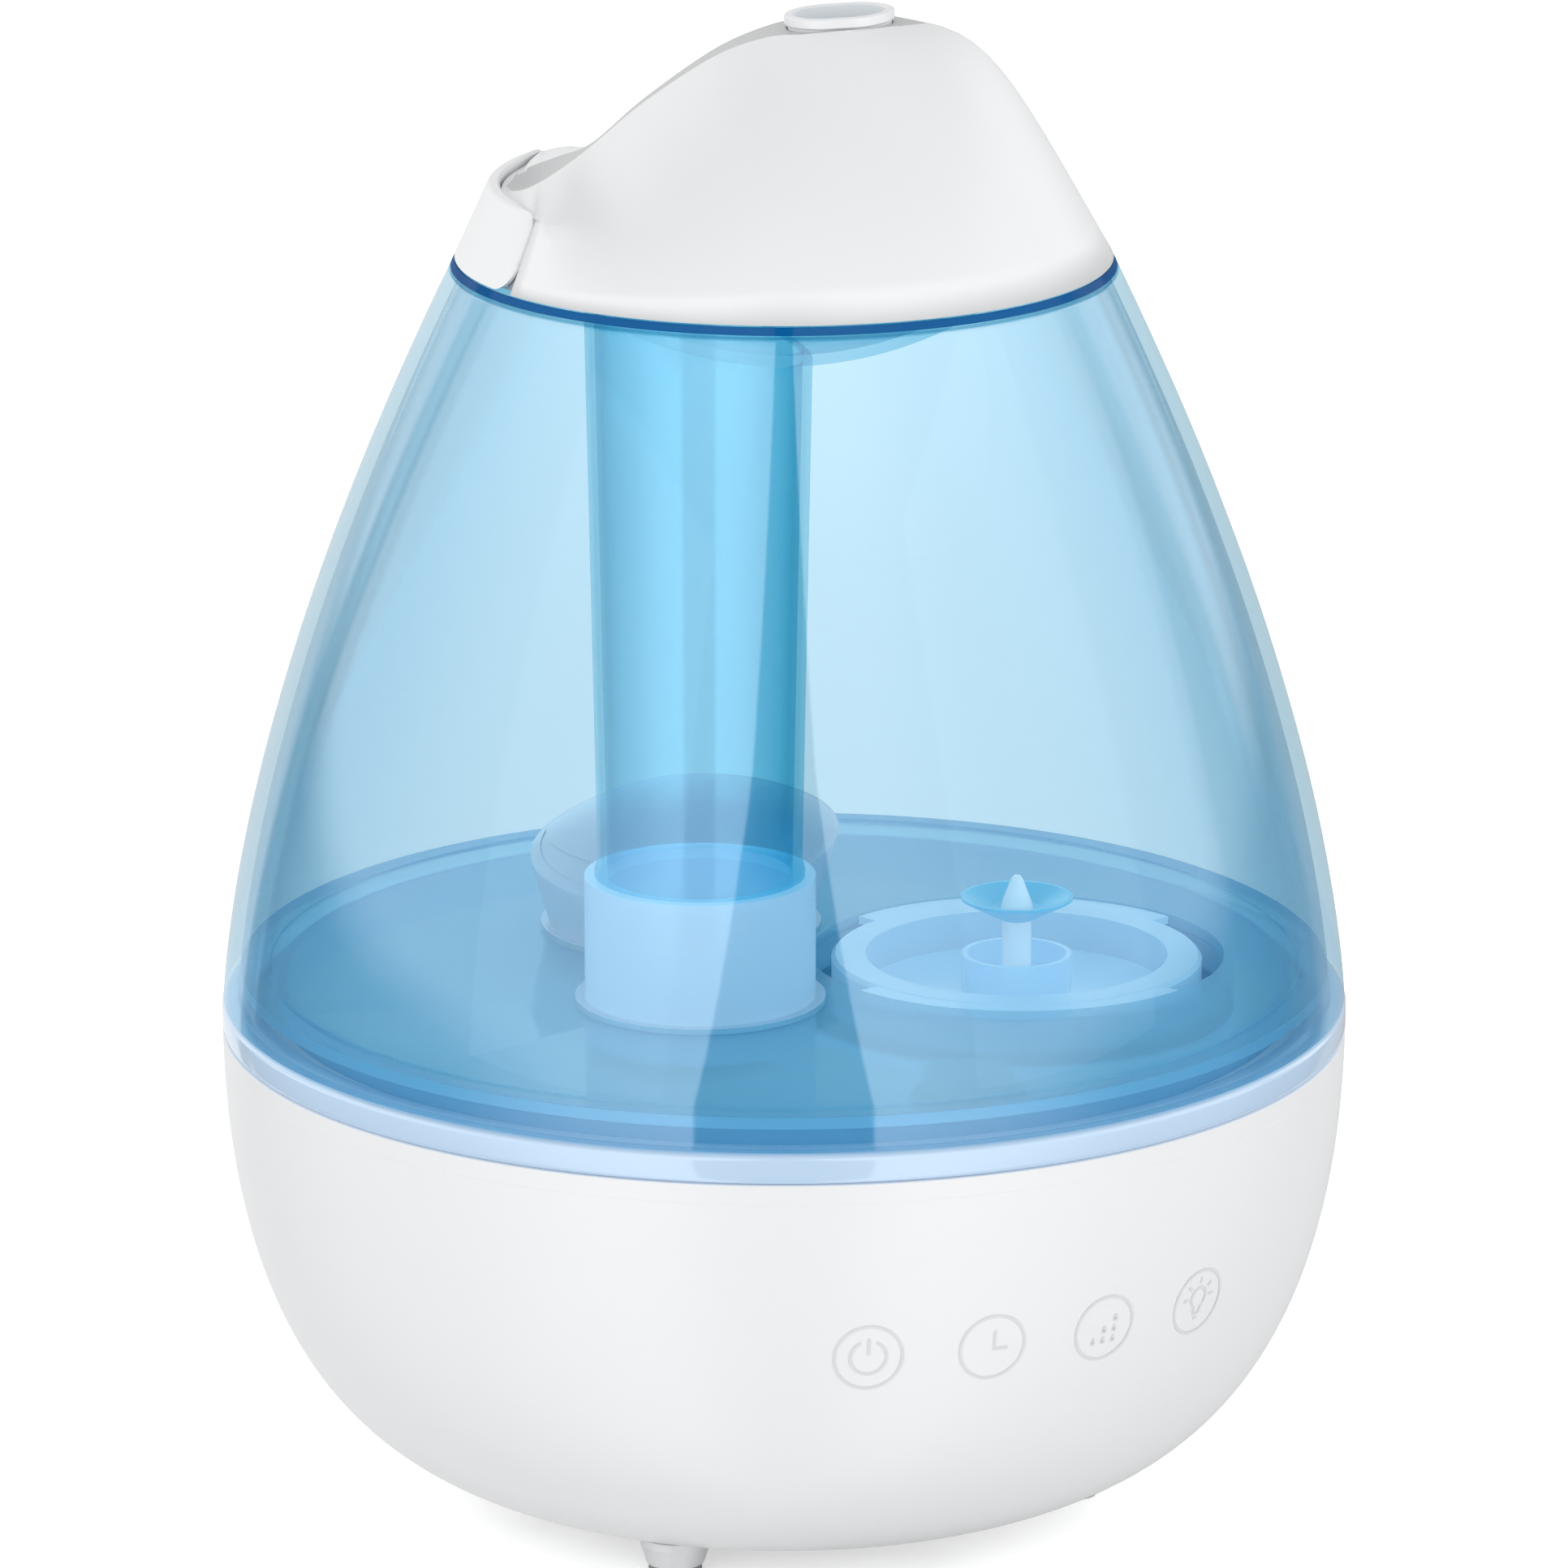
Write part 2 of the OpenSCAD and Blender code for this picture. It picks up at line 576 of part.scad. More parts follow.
tower_seat = seat_gap;
module tower_plan(foot, grow) {
    translate([chimney_x, chimney_y]) circle(r = riser_r + grow);
    translate([lobe_x, lobe_y]) circle(r = foot + grow);
    neck_plan(neck_w + 2 * grow);
}
module neck_plan(w) {
    d = [lobe_x - chimney_x, lobe_y - chimney_y];
    translate([chimney_x, chimney_y]) rotate([0, 0, atan2(d[1], d[0])])
        translate([0, -w / 2]) square([norm(d), w]);
}

floor_r = tank_r(floor_z) - tank_wall - seat_gap;
rim_ring = [5, 1, 0.5];                      // ring near the floor's edge: its distance in, width and height
module tank_floor() color([0.45, 0.72, 0.88, 0.6]) difference() {
    union() {
        rod(floor_r, floor_z - floor_t, floor_z);
        tube(floor_r - rim_ring[0], rim_ring[1], floor_z - eps, floor_z + rim_ring[2]);
        tube(weld_r, skirt_t, base_h + 1, floor_z - floor_t + eps);
    }
    at_cap() rod(fill_r, floor_z - floor_t - 1, floor_z + 1);
    translate([0, 0, floor_z - floor_t - 1]) linear_extrude(floor_t + 2) tower_plan(lobe_foot_r, tower_seat);
}

lug_angles = [-120, 60];                     // directions of the bayonet lugs from the cap's centre
module fill_neck() color([0.45, 0.72, 0.88, 0.6]) at_cap() {
    tube(fill_r + neck_wall, neck_wall, neck_end_z, floor_z - floor_t - seat_gap);
    for (a = lug_angles)
        ring_sector(fill_r - 3, fill_r + 0.5, floor_z - floor_t - 2, floor_z - floor_t - seat_gap, a, lug_half * 0.6);
}

module tank_ceiling() color([0.5, 0.76, 0.93, 0.55]) difference() {
    rotate_extrude() difference() {
        union() {
            polygon([[0, ceiling_z - ceiling_t], [tank_r(ceiling_z - ceiling_t), ceiling_z - ceiling_t],
                     [tank_r(ceiling_z), ceiling_z], [0, ceiling_z]]);
            dish_plan(dish_r, ceiling_z - ceiling_t / 2);
        }
        dish_plan(dish_r - ceiling_t, ceiling_z + 1);
    }
    at_chimney() rod(chimney_top_r - chimney_wall, 0, tank_top_z);
}

// half outline of the dish's ball, cut off at height z
module dish_plan(r, z) intersection() {
    translate([0, dish_zc]) circle(r = r, $fn = 180);
    translate([0, dish_zc - dish_r - 1]) square([dish_r, z - dish_zc + dish_r + 1]);
}

foot_flange = 0.6;                           // how far the chimney's foot stands out
module chimney() color([0.4, 0.72, 0.92, 0.5]) difference() {
    at_chimney() {
        z0 = riser_z + seat_gap;
        z1 = ceiling_z - ceiling_t - seat_gap;
        rotate_extrude() polygon([[chimney_r - chimney_wall, z0], [chimney_r + foot_flange, z0],
            [chimney_r + foot_flange, z0 + 1], [chimney_r, z0 + 3], [chimney_top_r, z1],
            [chimney_top_r - chimney_wall, z1]]);
    }
    translate([0, 0, dish_zc]) sphere(r = dish_r + seat_gap);
}

module mist_tower() color([0.93, 0.95, 0.98]) difference() {
    union() {
        at_chimney() rod(riser_r, floor_z - tower_drop, riser_z);
        at_lobe() lobe_solid();
        translate([0, 0, floor_z - tower_drop]) linear_extrude(tower_drop) tower_plan(lobe_foot_r, 0);
        translate([0, 0, floor_z - eps]) linear_extrude(neck_h_in) neck_plan(neck_w);
        translate([0, 0, floor_z + seat_gap]) linear_extrude(1.2) tower_plan(lobe_foot_r, 2);
    }
    at_chimney() {
        rod(riser_r - tower_wall, floor_z - tower_drop - 1, riser_z - 2);
        rod(chimney_r - chimney_wall, floor_z, riser_z + 1);
    }
    at_lobe() {
        rod(lobe_foot_r - tower_wall, floor_z - tower_drop - 1, floor_z);
        translate([0, 0, floor_z - eps]) cylinder(r1 = lobe_foot_r - tower_wall, r2 = lobe_r - tower_wall - 0.5,
                                                  h = lobe_shoulder);
    }
    translate([0, 0, floor_z - tower_drop - 1]) linear_extrude(tower_drop + 1 + neck_h_in - tower_wall)
        neck_plan(neck_w - 2 * tower_wall);
}

neck_h_in = 15;                              // height of the passage above the tank floor
// rear lobe: a flaring drum under a tilted crown
module lobe_solid() intersection() {
    translate([0, 0, floor_z - eps])
        cylinder(r1 = lobe_foot_r, r2 = mix(lobe_foot_r, lobe_r, lobe_full / lobe_shoulder), h = lobe_full);
    translate([0, 0, floor_z + lobe_full]) rotate([0, lobe_lean[1], 0]) rotate([lobe_lean[0], 0, 0])
        translate([0, 0, -crown_r]) sphere(r = crown_r);
}
lobe_full = lobe_shoulder + lobe_crown;
crown_r = (pow(lobe_r, 2) + pow(lobe_crown, 2)) / (2 * lobe_crown);
lobe_lean = [lobe_tilt / 2, -lobe_tilt];

// ---- fill cap and valve ----
module fill_cap() color([0.9, 0.93, 0.97]) at_cap() {
    inner_r = cap_ring_r - cap_ring_w;
    outer_r = fill_r + neck_wall + 1.8;
    disc_under_z = cap_disc_z - tray_wall;
    difference() {
        union() {
            rotate_extrude() polygon([[0, disc_under_z], [inner_r + 2, disc_under_z],
                [cap_ring_r - 2.5, cap_flange_z - cap_flange_t], [outer_r, cap_flange_z - cap_flange_t],
                [outer_r, cap_flange_z], [cap_ring_r, cap_flange_z], [cap_ring_r, cap_top_z - 0.8],
                [cap_ring_r - 0.8, cap_top_z], [inner_r, cap_top_z], [inner_r, cap_disc_z], [0, cap_disc_z]]);
            rod(cup_r, cap_disc_z - eps, cap_top_z);
        }
        rod(cup_r - cup_wall, cap_disc_z, cap_top_z + 1);
        rod(stem_r + stem_clear, disc_under_z - 1, cap_disc_z + 1);
        for (i = [0:3]) rotate([0, 0, 45 + i * 90]) translate([6.6, 0, 0])
            rod(1.8, disc_under_z - 1, cap_disc_z + 1);
    }
    for (a = lug_angles) ring_sector(cap_ring_r - 1, fill_r - 0.5, floor_z - 1.9, cap_top_z - 0.1, a, lug_half);
    for (s = [0, 180]) rotate([0, 0, s - 30]) translate([cup_r - 1, -2, disc_under_z - 7])
        cube([inner_r - cup_r, 4, 7 + eps]);
}

module cap_seal() color([0.35, 0.55, 0.75]) at_cap()
    tube(fill_r + neck_wall, neck_wall + 3, cap_flange_z + seat_gap, neck_end_z - seat_gap);

bowl_rise = [6.8, 12.1];                     // bottom and rim of the valve's disc above the cup
module valve_stem() color([0.93, 0.95, 0.97]) at_cap() {
    rod(stem_r + 1.6, foot_z, foot_z + 2);
    rod(stem_r, foot_z + 2 - eps, cap_top_z + bowl_rise[0] + 0.5);
    rotate_extrude() polygon([[0, cap_top_z + bowl_rise[0]], [stem_r - 0.6, cap_top_z + bowl_rise[0]],
        [stem_r - 0.6, cap_top_z + 9.4], [stem_r + 0.3, cap_top_z + 9.4], [stem_r + 0.2, cap_top_z + 10.5],
        [1.2, cap_top_z + 15.8], [0.7, cap_top_z + 16.4], [0, cap_top_z + 16.5]]);
}

module valve_disc() color([0.2, 0.65, 0.9]) at_cap() {
    z0 = cap_top_z + bowl_rise[0] + 0.6;
    z1 = cap_top_z + bowl_rise[1];
    rotate_extrude() polygon([[stem_r - 0.5, z0], [stem_r + 0.8, z0], [cup_r + 0.2, z1 - 0.5],
        [cup_r + 0.2, z1], [cup_r - 0.6, z1], [stem_r + 2.5, z0 + 2], [stem_r - 0.5, z0 + 2]]);
}

spring_turns = 5;
spring_steps = 16;
function spring_pt(k, r, z0, rise) = [r * cos(k * 360 / spring_steps), r * sin(k * 360 / spring_steps),
                                      z0 + rise * k / (spring_turns * spring_steps)];
module valve_spring() color("silver") at_cap() {
    r = stem_r + 0.9;
    z0 = foot_z + 2 + spring_wire / 2 + seat_gap;
    rise = 3.3 - spring_wire - 2 * seat_gap;
    n = spring_turns * spring_steps;
    sides = 6;
    pts = [for (k = [0:n], j = [0:sides - 1]) let (c = spring_pt(k, r, z0, rise), a = k * 360 / spring_steps,
        b = j * 360 / sides, q = spring_wire / 2 * 0.8)
        [c[0] + q * cos(b) * cos(a), c[1] + q * cos(b) * sin(a), c[2] + q * sin(b)]];
    sides_f = [for (k = [0:n - 1], j = [0:sides - 1]) let (j2 = (j + 1) % sides)
        [k * sides + j, k * sides + j2, (k + 1) * sides + j2, (k + 1) * sides + j]];
    polyhedron(pts, concat(sides_f, [[for (j = [sides - 1:-1:0]) j], [for (j = [0:sides - 1]) n * sides + j]]));
}

// ---- lid ----
lid_rim_r = tank_r(tank_top_z);
// edge of the deck from the tongue's tip round to the hump, every 15 degrees of the rim:
// place along the swoop and height, as shares of the rim's radius and the dome's height
ridge_u = [-0.840, -0.818, -0.763, -0.683, -0.582, -0.423, -0.212, -0.053, 0.060, 0.181, 0.287, 0.378, 0.431];
ridge_z = [0.298, 0.309, 0.340, 0.394, 0.478, 0.670, 0.874, 0.966, 0.990, 1.008, 1.012, 1.006, 1.001];
// half width of the deck at the same places
ridge_w = [0, 0.72 * spoon_w, spoon_w, 0.72 * spoon_w, waist_w, waist_w + 0.07 * deck_w, 0.44 * deck_w,
           0.66 * deck_w, 0.95 * deck_w, deck_w, 0.8 * deck_w, 0.31 * deck_w, 0];

function spline(p, x) = let (n = len(p) - 1, i = min(floor(x), n - 1), t = x - i, a = p[max(i - 1, 0)],
    b = p[i], c = p[i + 1], d = p[min(i + 2, n)])
    b + 0.5 * t * (c - a + t * (2 * a - 5 * b + 4 * c - d + t * (3 * (b - c) + d - a)));
function ridge(a) = let (x = 12 - abs(a) / 15) [lid_rim_r * spline(ridge_u, x),
    (a < 0 ? -1 : 1) * (x == 0 || x == 12 ? 0 : spline(ridge_w, x)), lid_z + lid_h * spline(ridge_z, x)];
deck_tab = [for (i = [0:48]) ridge(180 - i * 3.75)];
deck_z_tab = [for (p = deck_tab) [p[0], p[2]]];
deck_w_tab = [for (p = deck_tab) [p[0], p[1]]];
function deck_z(u) = lookup(u, deck_z_tab);
function deck_half(u) = lookup(u, deck_w_tab);
// the tongue's shallow dish
function dish(u, e) = let (s = (u / lid_rim_r + 0.745) / 0.11) abs(s) > 1 ? 0
    : spoon_dish * pow(1 - s * s, 2) * (1 - e * e);

cone_slope = (body_r - tank_top_r) * tank_power / tank_h;    // how fast the outline draws in at the rim
recess_half = grip_half + 1.2;                // half angle of the hollow behind the grip
function grip_r(z) = lid_rim_r - cone_slope * 0.9 * (z - lid_z);
function from_tongue(a) = 180 - abs(a);
function in_recess(a) = from_tongue(a) < recess_half;
// how far the hollow has run out, from 0 behind the grip's middle to 1 at its ends
function run_out(b) = eased((b / grip_half - 0.55) / 0.45);
function clamp01(x) = max(0, min(1, x));
function eased(x) = let (t = clamp01(x)) t * t * (3 - 2 * t);
// depth of the hollow behind the dome's outline, b degrees from the tongue's middle
function recess(b) = grip_gap + grip_t * (1 - 0.55 * run_out(b));

seat_t = 2;
seat_z = tank_top_z + part_gap;
seat_outer_r = grip_r(seat_z + seat_t) - recess(0) - lid_wall - part_gap;
module lid_seat() color([0.93, 0.93, 0.93]) rotate_extrude() polygon([
    [seat_outer_r - 9, seat_z], [seat_outer_r, seat_z], [seat_outer_r, seat_z + seat_t],
    [seat_outer_r - 3, seat_z + seat_t], [seat_outer_r - 4.2, seat_z + seat_t + 3],
    [seat_outer_r - 6, seat_z + seat_t + 3], [seat_outer_r - 6, seat_z + seat_t],
    [seat_outer_r - 9, seat_z + seat_t]]);

function mix(a, b, t) = a + (b - a) * t;
function bezier(a, b, c, d, t) = let (s = 1 - t)
    s * s * s * a + 3 * s * s * t * b + 3 * s * t * t * c + t * t * t * d;

// point of the dome's side at rim angle a, share t of the way from the rim to the deck's edge,
// pulled in by w
lid_rows = 12;
function side_pt(a, t, w) = let (
    top = ridge(a), dir = [cos(a), sin(a)], hump = pow((1 + cos(a)) / 2, 2),
    base = [(lid_rim_r - w) * dir[0], (lid_rim_r - w) * dir[1], lid_z],
    reach = clamp01((top[2] - lid_z) / lid_h + 0.12),
    p1 = [(lid_rim_r * (1 - 0.253 * reach) - w) * dir[0], (lid_rim_r * (1 - 0.253 * reach) - w) * dir[1],
          lid_z + 0.623 * reach * lid_h],
    high = clamp01((reach - 0.45) * 2),
    out = [mix(mix(0.06, 0.18, high), 0.208, hump) * lid_rim_r,
           mix(mix(-0.013, -0.19, high), -0.028, hump) * lid_h],
    lean = unit([mix(dir[0], sign(cos(a)), 0), dir[1]]),
    end = [top[0] - min(w, 2) * lean[0], top[1] - min(w, 0.5 * abs(top[1])) * lean[1], top[2] - w],
    p2 = [end[0] + out[0] * lean[0], end[1] + out[0] * lean[1], end[2] + out[1]])
    bezier(base, p1, p2, end, t);
function unit(v) = v / norm(v);

// the same beside and behind the grip: up a wall, d deep, then in over a shoulder to the tongue
knee_t = 5 / lid_rows;
knee_drop = 1.6;                             // height of the grip's top above the wall behind it
function shoulder_pt(a, t, w, d) = let (
    b = from_tongue(a), r = run_out(b), top = ridge(a), dir = [cos(a), sin(a)],
    knee_z = lid_z + grip_h - knee_drop - w,
    fr = lid_rim_r - d - w, kr = grip_r(knee_z) - d - w,
    foot = [fr * dir[0], fr * dir[1], lid_z], knee = [kr * dir[0], kr * dir[1], knee_z],
    end = [top[0] - (b < 20 ? min(w, 2) : 0) * dir[0], top[1] - min(w, 0.5 * abs(top[1])) * sign(dir[1]),
           top[2] - w],
    rim = knee + d * [dir[0], dir[1], 0.1],
    cove = mix(knee, [end[0], end[1], knee[2]], 0.45),
    swell = (end[2] - knee[2]) * 0.5,
    c1 = mix(cove, mix(rim, end, 0.2) + [0, 0, swell], r),
    c2 = mix(mix(knee, [end[0], end[1], mix(knee[2], end[2], 0.4)], 0.9),
             mix(rim, end, 0.66) + [0, 0, swell * 0.5], r))
    t <= knee_t ? mix(foot, knee, t / knee_t)
    : bezier(mix(knee, rim, closing(b)), c1, c2, end, pow((t - knee_t) / (1 - knee_t), 1.5));
// how far the hollow has closed over the corner of the grip's end, from 0 to 1
function closing(b) = eased((b - recess_half + 2.6) / 2.4);
// shoulders beside the hollow fade into the dome's side over this angle
shoulder_fade = 26;
function wall_pt(a, t, w) = let (b = from_tongue(a), k = eased((b - recess_half) / shoulder_fade))
    in_recess(a) ? shoulder_pt(a, t, w, recess(b)) : k >= 1 ? side_pt(a, t, w)
    : mix(shoulder_pt(a, t, w, 0), side_pt(a, t, w), k);

// outline of the nozzle's opening in the deck, grown by g
nozzle_r = deck_w - 2.4;
slot_r = nozzle_r + nozzle_wall - 0.4;
slot_half = nozzle_half + nozzle_wall - 0.4;
function slot_pt(a, g) = [nozzle_x + (slot_half - slot_r) * clamp(cos(a) * 3) + (slot_r + g) * cos(a),
                          (slot_r + g) * sin(a)];
function clamp(x) = max(-1, min(1, x));
lid_sides = 144;                             // points round the rim
deck_cells = 12;                             // cells across the deck
deck_from = 40;                              // row at which the deck opens round the nozzle
ring_rows = 4;                               // rings from there in to the nozzle
// rim angle of column i; the two columns beside the hollow's end stand on it
function deck_angle(i) = let (a = -180 + (i + 0.5) * 360 / lid_sides, gap = from_tongue(a) - recess_half)
    abs(gap) < 360 / lid_sides ? sign(a) * (180 - recess_half - (gap < 0 ? -0.15 : 0.15)) : a;
// point of the deck, v across and u along it
function deck_at(u, v, w) = [u, v, deck_z(u) - w - dish(u, min(1, abs(v) / max(deck_half(u), 0.01)))];
function deck_edge(i, w) = wall_pt(deck_angle(i), 1, w);
function deck_row_pt(i, k, w) = let (p = deck_edge(i, w), q = deck_edge(lid_sides - 1 - i, w))
    deck_at(p[0], mix(p[1], q[1], k / deck_cells), w);

// the lid is two sheets, w apart, joined along the rim and round the nozzle;
// each sheet is the dome's side, then rows across the tongue, then rings in to the nozzle
rim_from = lid_rows * lid_sides;             // first point of the deck's edge
row_from = rim_from + lid_sides;             // first point inside the deck
ring_from = row_from + deck_from * (deck_cells - 1);
loop_n = lid_sides - 2 * deck_from + deck_cells - 1;
sheet_n = ring_from + ring_rows * loop_n;
function row_id(i, k) = i == 0 ? (2 * k < deck_cells ? rim_from : rim_from + lid_sides - 1)
    : k == 0 ? rim_from + i : k == deck_cells ? rim_from + lid_sides - 1 - i
    : row_from + (i - 1) * (deck_cells - 1) + k - 1;
// points of the loop round the nozzle: the deck's edge past the hump, then back along the last row
function loop_id(j) = let (past_hump = lid_sides - 2 * deck_from)
    j < past_hump ? rim_from + deck_from + j : row_id(deck_from, past_hump + deck_cells - 1 - j);
function ring_id(q, j) = q == 0 ? loop_id(j % loop_n) : ring_from + (q - 1) * loop_n + j % loop_n;

function sheet(w) = let (
    side = [for (j = [0:lid_rows], i = [0:lid_sides - 1]) wall_pt(deck_angle(i), j / lid_rows, w)],
    rows = [for (i = [1:deck_from], k = [1:deck_cells - 1]) deck_row_pt(i, k, w)],
    flat = concat(side, rows),
    rings = [for (q = [1:ring_rows], j = [0:loop_n - 1]) let (p = flat[loop_id(j)],
        n = slot_pt(atan2(p[1], p[0] - nozzle_x), 0.1), t = q / ring_rows)
        deck_at(mix(p[0], n[0], t), mix(p[1], n[1], t), w)])
    concat(flat, rings);
sheet_cells = concat(
    [for (j = [0:lid_rows - 1], i = [0:lid_sides - 1]) let (i2 = (i + 1) % lid_sides)
        [j * lid_sides + i, j * lid_sides + i2, (j + 1) * lid_sides + i2, (j + 1) * lid_sides + i]],
    [for (i = [0:deck_from - 1], k = [0:deck_cells - 1])
        [row_id(i, k), row_id(i + 1, k), row_id(i + 1, k + 1), row_id(i, k + 1)]],
    [for (q = [0:ring_rows - 1], j = [0:loop_n - 1])
        [ring_id(q, j), ring_id(q, j + 1), ring_id(q + 1, j + 1), ring_id(q + 1, j)]]);
// two triangles for a cell, one where two of its corners are the same point
function halves(c) = [for (t = [[c[0], c[2], c[1]], [c[0], c[3], c[2]]])
    if (t[0] != t[1] && t[1] != t[2] && t[0] != t[2]) t];
function turned(c) = [c[3], c[2], c[1], c[0]];

module lid_shell() color([0.95, 0.95, 0.95]) in_lid() {
    rim = [for (i = [0:lid_sides - 1]) let (i2 = (i + 1) % lid_sides) [i2, i, i + sheet_n, i2 + sheet_n]];
    mouth = [for (j = [0:loop_n - 1]) let (a = ring_id(ring_rows, j), b = ring_id(ring_rows, j + 1))
        [a, b, b + sheet_n, a + sheet_n]];
    inner = [for (c = sheet_cells) turned([for (i = c) i + sheet_n])];
    polyhedron(concat(sheet(0), sheet(lid_wall)),
               [for (c = concat(sheet_cells, inner, rim, mouth)) each halves(c)]);
}

grip_cells = 40;
grip_foot = 1.6;
// how far a corner of radius r has cut in at x from the end
function corner(r, x) = x >= r ? 0 : r - sqrt(max(0, r * r - (r - x) * (r - x)));
// section of the grip, b degrees from the tongue's middle
function grip_section(b) = let (t = recess(b) - grip_gap, x = (grip_half - b) * PI / 180 * lid_rim_r,
    z0 = lid_z + seat_gap + corner(grip_corner[0], x), z1 = lid_z + grip_h - corner(grip_corner[1], x),
    c = (t - 0.4) * corner(1, x / (grip_nose * PI / 180 * lid_rim_r)), e = min(0.5, (t - c) / 3),
    ri = z0 < lid_z + 1 ? grip_r(z0) - recess(b) + seat_gap : grip_r(z0) - t,
    zf = max(z0 + 0.4, lid_z + grip_foot))
    [[ri, z0], [grip_r(z0) - c, z0], [grip_r(z1) - c, z1 - e], [grip_r(z1) - e - c, z1],
     [grip_r(z1) - t + e, z1], [grip_r(z1) - t, z1 - e], [grip_r(zf) - t, zf], [ri, zf]];
module lid_grip() color([0.95, 0.95, 0.95]) in_lid() {
    k = 8;
    pts = [for (i = [0:grip_cells]) let (a = -grip_half * cos(i * 180 / grip_cells))
        for (q = grip_section(abs(a))) [-q[0] * cos(a), -q[0] * sin(a), q[1]]];
    faces = [for (i = [0:grip_cells - 1], j = [0:k - 1]) let (j2 = (j + 1) % k, a = i * k + j, b = i * k + j2,
        c = (i + 1) * k + j2, d = (i + 1) * k + j) each [[a, b, c], [a, c, d]]];
    polyhedron(pts, concat(faces, [[for (j = [k - 1:-1:0]) j], [for (j = [0:k - 1]) grip_cells * k + j]]));
}

module slot_plan(grow) {
    d = slot_half - slot_r;
    for (s = [-1, 1]) translate([s * d, 0]) circle(r = slot_r + grow);
    translate([-d, -slot_r - grow]) square([2 * d, 2 * (slot_r + grow)]);
}

nozzle_tilt = atan2(deck_z(nozzle_x + slot_half) - deck_z(nozzle_x - slot_half), 2 * slot_half);
module nozzle() color([0.93, 0.93, 0.93]) in_lid()
    translate([nozzle_x, 0, deck_z(nozzle_x)]) rotate([0, -nozzle_tilt, 0]) difference() {
        union() {
            translate([0, 0, part_gap]) linear_extrude(nozzle_rise - part_gap) slot_plan(0.4);
            translate([0, 0, -throat_h]) linear_extrude(throat_h + part_gap + eps) slot_plan(-part_gap);
        }
        translate([0, 0, -throat_h - 1]) linear_extrude(throat_h + nozzle_rise + 2)
            slot_plan(0.4 - nozzle_wall);
    }

base_bowl();
bottom_cover();
standoffs();
foot_pads();
cover_screws();
base_posts();
base_tray();
air_stack();
float_guide();
light_ring();
lamp_board();
fan_frame();
fan_motor();
impeller();
air_duct();
transducer_disc();
transducer_seal();
transducer_retainer();
driver_board();
heat_sink();
main_board();
touch_board();
touch_springs();
power_inlet();
float_puck();
float_magnet();
tank_shell();
tank_floor();
fill_neck();
tank_ceiling();
chimney();
mist_tower();
fill_cap();
cap_seal();
valve_stem();
valve_disc();
valve_spring();
lid_seat();
lid_shell();
lid_grip();
nozzle();
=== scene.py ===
"""Cool mist humidifier: white bowl base, clear blue tank and a white swooping lid.

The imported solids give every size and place. This script dresses them: smooth skins over the
moulded shells, clear and milky plastics, the lit ring, and the printed touch icons. Lengths are in
metres, so a size in millimetres is written as a number times MM. Angles are in degrees.
"""

import logging
import math
from dataclasses import dataclass
from enum import Enum
from itertools import pairwise
from typing import Callable, ClassVar, Iterable, Sequence

import bmesh
import bpy
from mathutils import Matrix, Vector


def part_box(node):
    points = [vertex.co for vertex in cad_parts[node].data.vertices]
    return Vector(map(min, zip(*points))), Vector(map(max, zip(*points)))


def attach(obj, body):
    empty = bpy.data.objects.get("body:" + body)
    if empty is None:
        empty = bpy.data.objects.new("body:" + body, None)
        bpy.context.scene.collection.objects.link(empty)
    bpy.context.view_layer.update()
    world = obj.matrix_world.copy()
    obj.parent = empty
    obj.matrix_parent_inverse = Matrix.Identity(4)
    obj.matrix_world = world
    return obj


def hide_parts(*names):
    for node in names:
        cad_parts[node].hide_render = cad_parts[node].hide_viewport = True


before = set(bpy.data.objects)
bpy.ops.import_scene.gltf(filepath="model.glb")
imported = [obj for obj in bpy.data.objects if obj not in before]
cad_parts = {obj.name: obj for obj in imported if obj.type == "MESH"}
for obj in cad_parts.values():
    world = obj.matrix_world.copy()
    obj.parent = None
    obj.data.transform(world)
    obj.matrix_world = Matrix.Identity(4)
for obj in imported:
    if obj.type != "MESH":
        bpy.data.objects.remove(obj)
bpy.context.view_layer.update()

LOG = logging.getLogger("humidifier")
MM = 0.001
FULL_TURN = 2 * math.pi
WHITE_LIGHT = (1, 1, 1)

Colour = tuple[float, float, float]
Point = tuple[float, float, float]
Flat = tuple[float, float]
Line = list[Flat]


class Body(str, Enum):
    """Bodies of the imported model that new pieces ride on."""

    BASE = "base"
    TANK = "tank"
    LID = "lid"


class Slot(str, Enum):
    """Material slots of the record, passed along with new pieces."""

    WHITE_SHELL = "white_shell"
    WHITE_PART = "white_part"
    CLEAR_BLUE = "clear_blue"
    CLEAR_FLOOR = "clear_blue_floor"
    RING_LIGHT = "ring_light"


class Ray(str, Enum):
    """What the Light Path node tells about a ray."""

    CAMERA = "Is Camera Ray"
    TRANSMISSION = "Is Transmission Ray"
    GLOSSY_DEPTH = "Glossy Depth"
    DIFFUSE_DEPTH = "Diffuse Depth"


def srgb(r: int, g: int, b: int) -> Colour:
    """Linear colour of an 8-bit screen colour."""
    return tuple((c / 255 / 12.92) if c <= 10 else ((c / 255 + 0.055) / 1.055) ** 2.4
                 for c in (r, g, b))


def shade(colour: Colour, factor: float) -> Colour:
    """A colour made darker or lighter by a factor."""
    return tuple(c * factor for c in colour)


# ---- shader maths ----


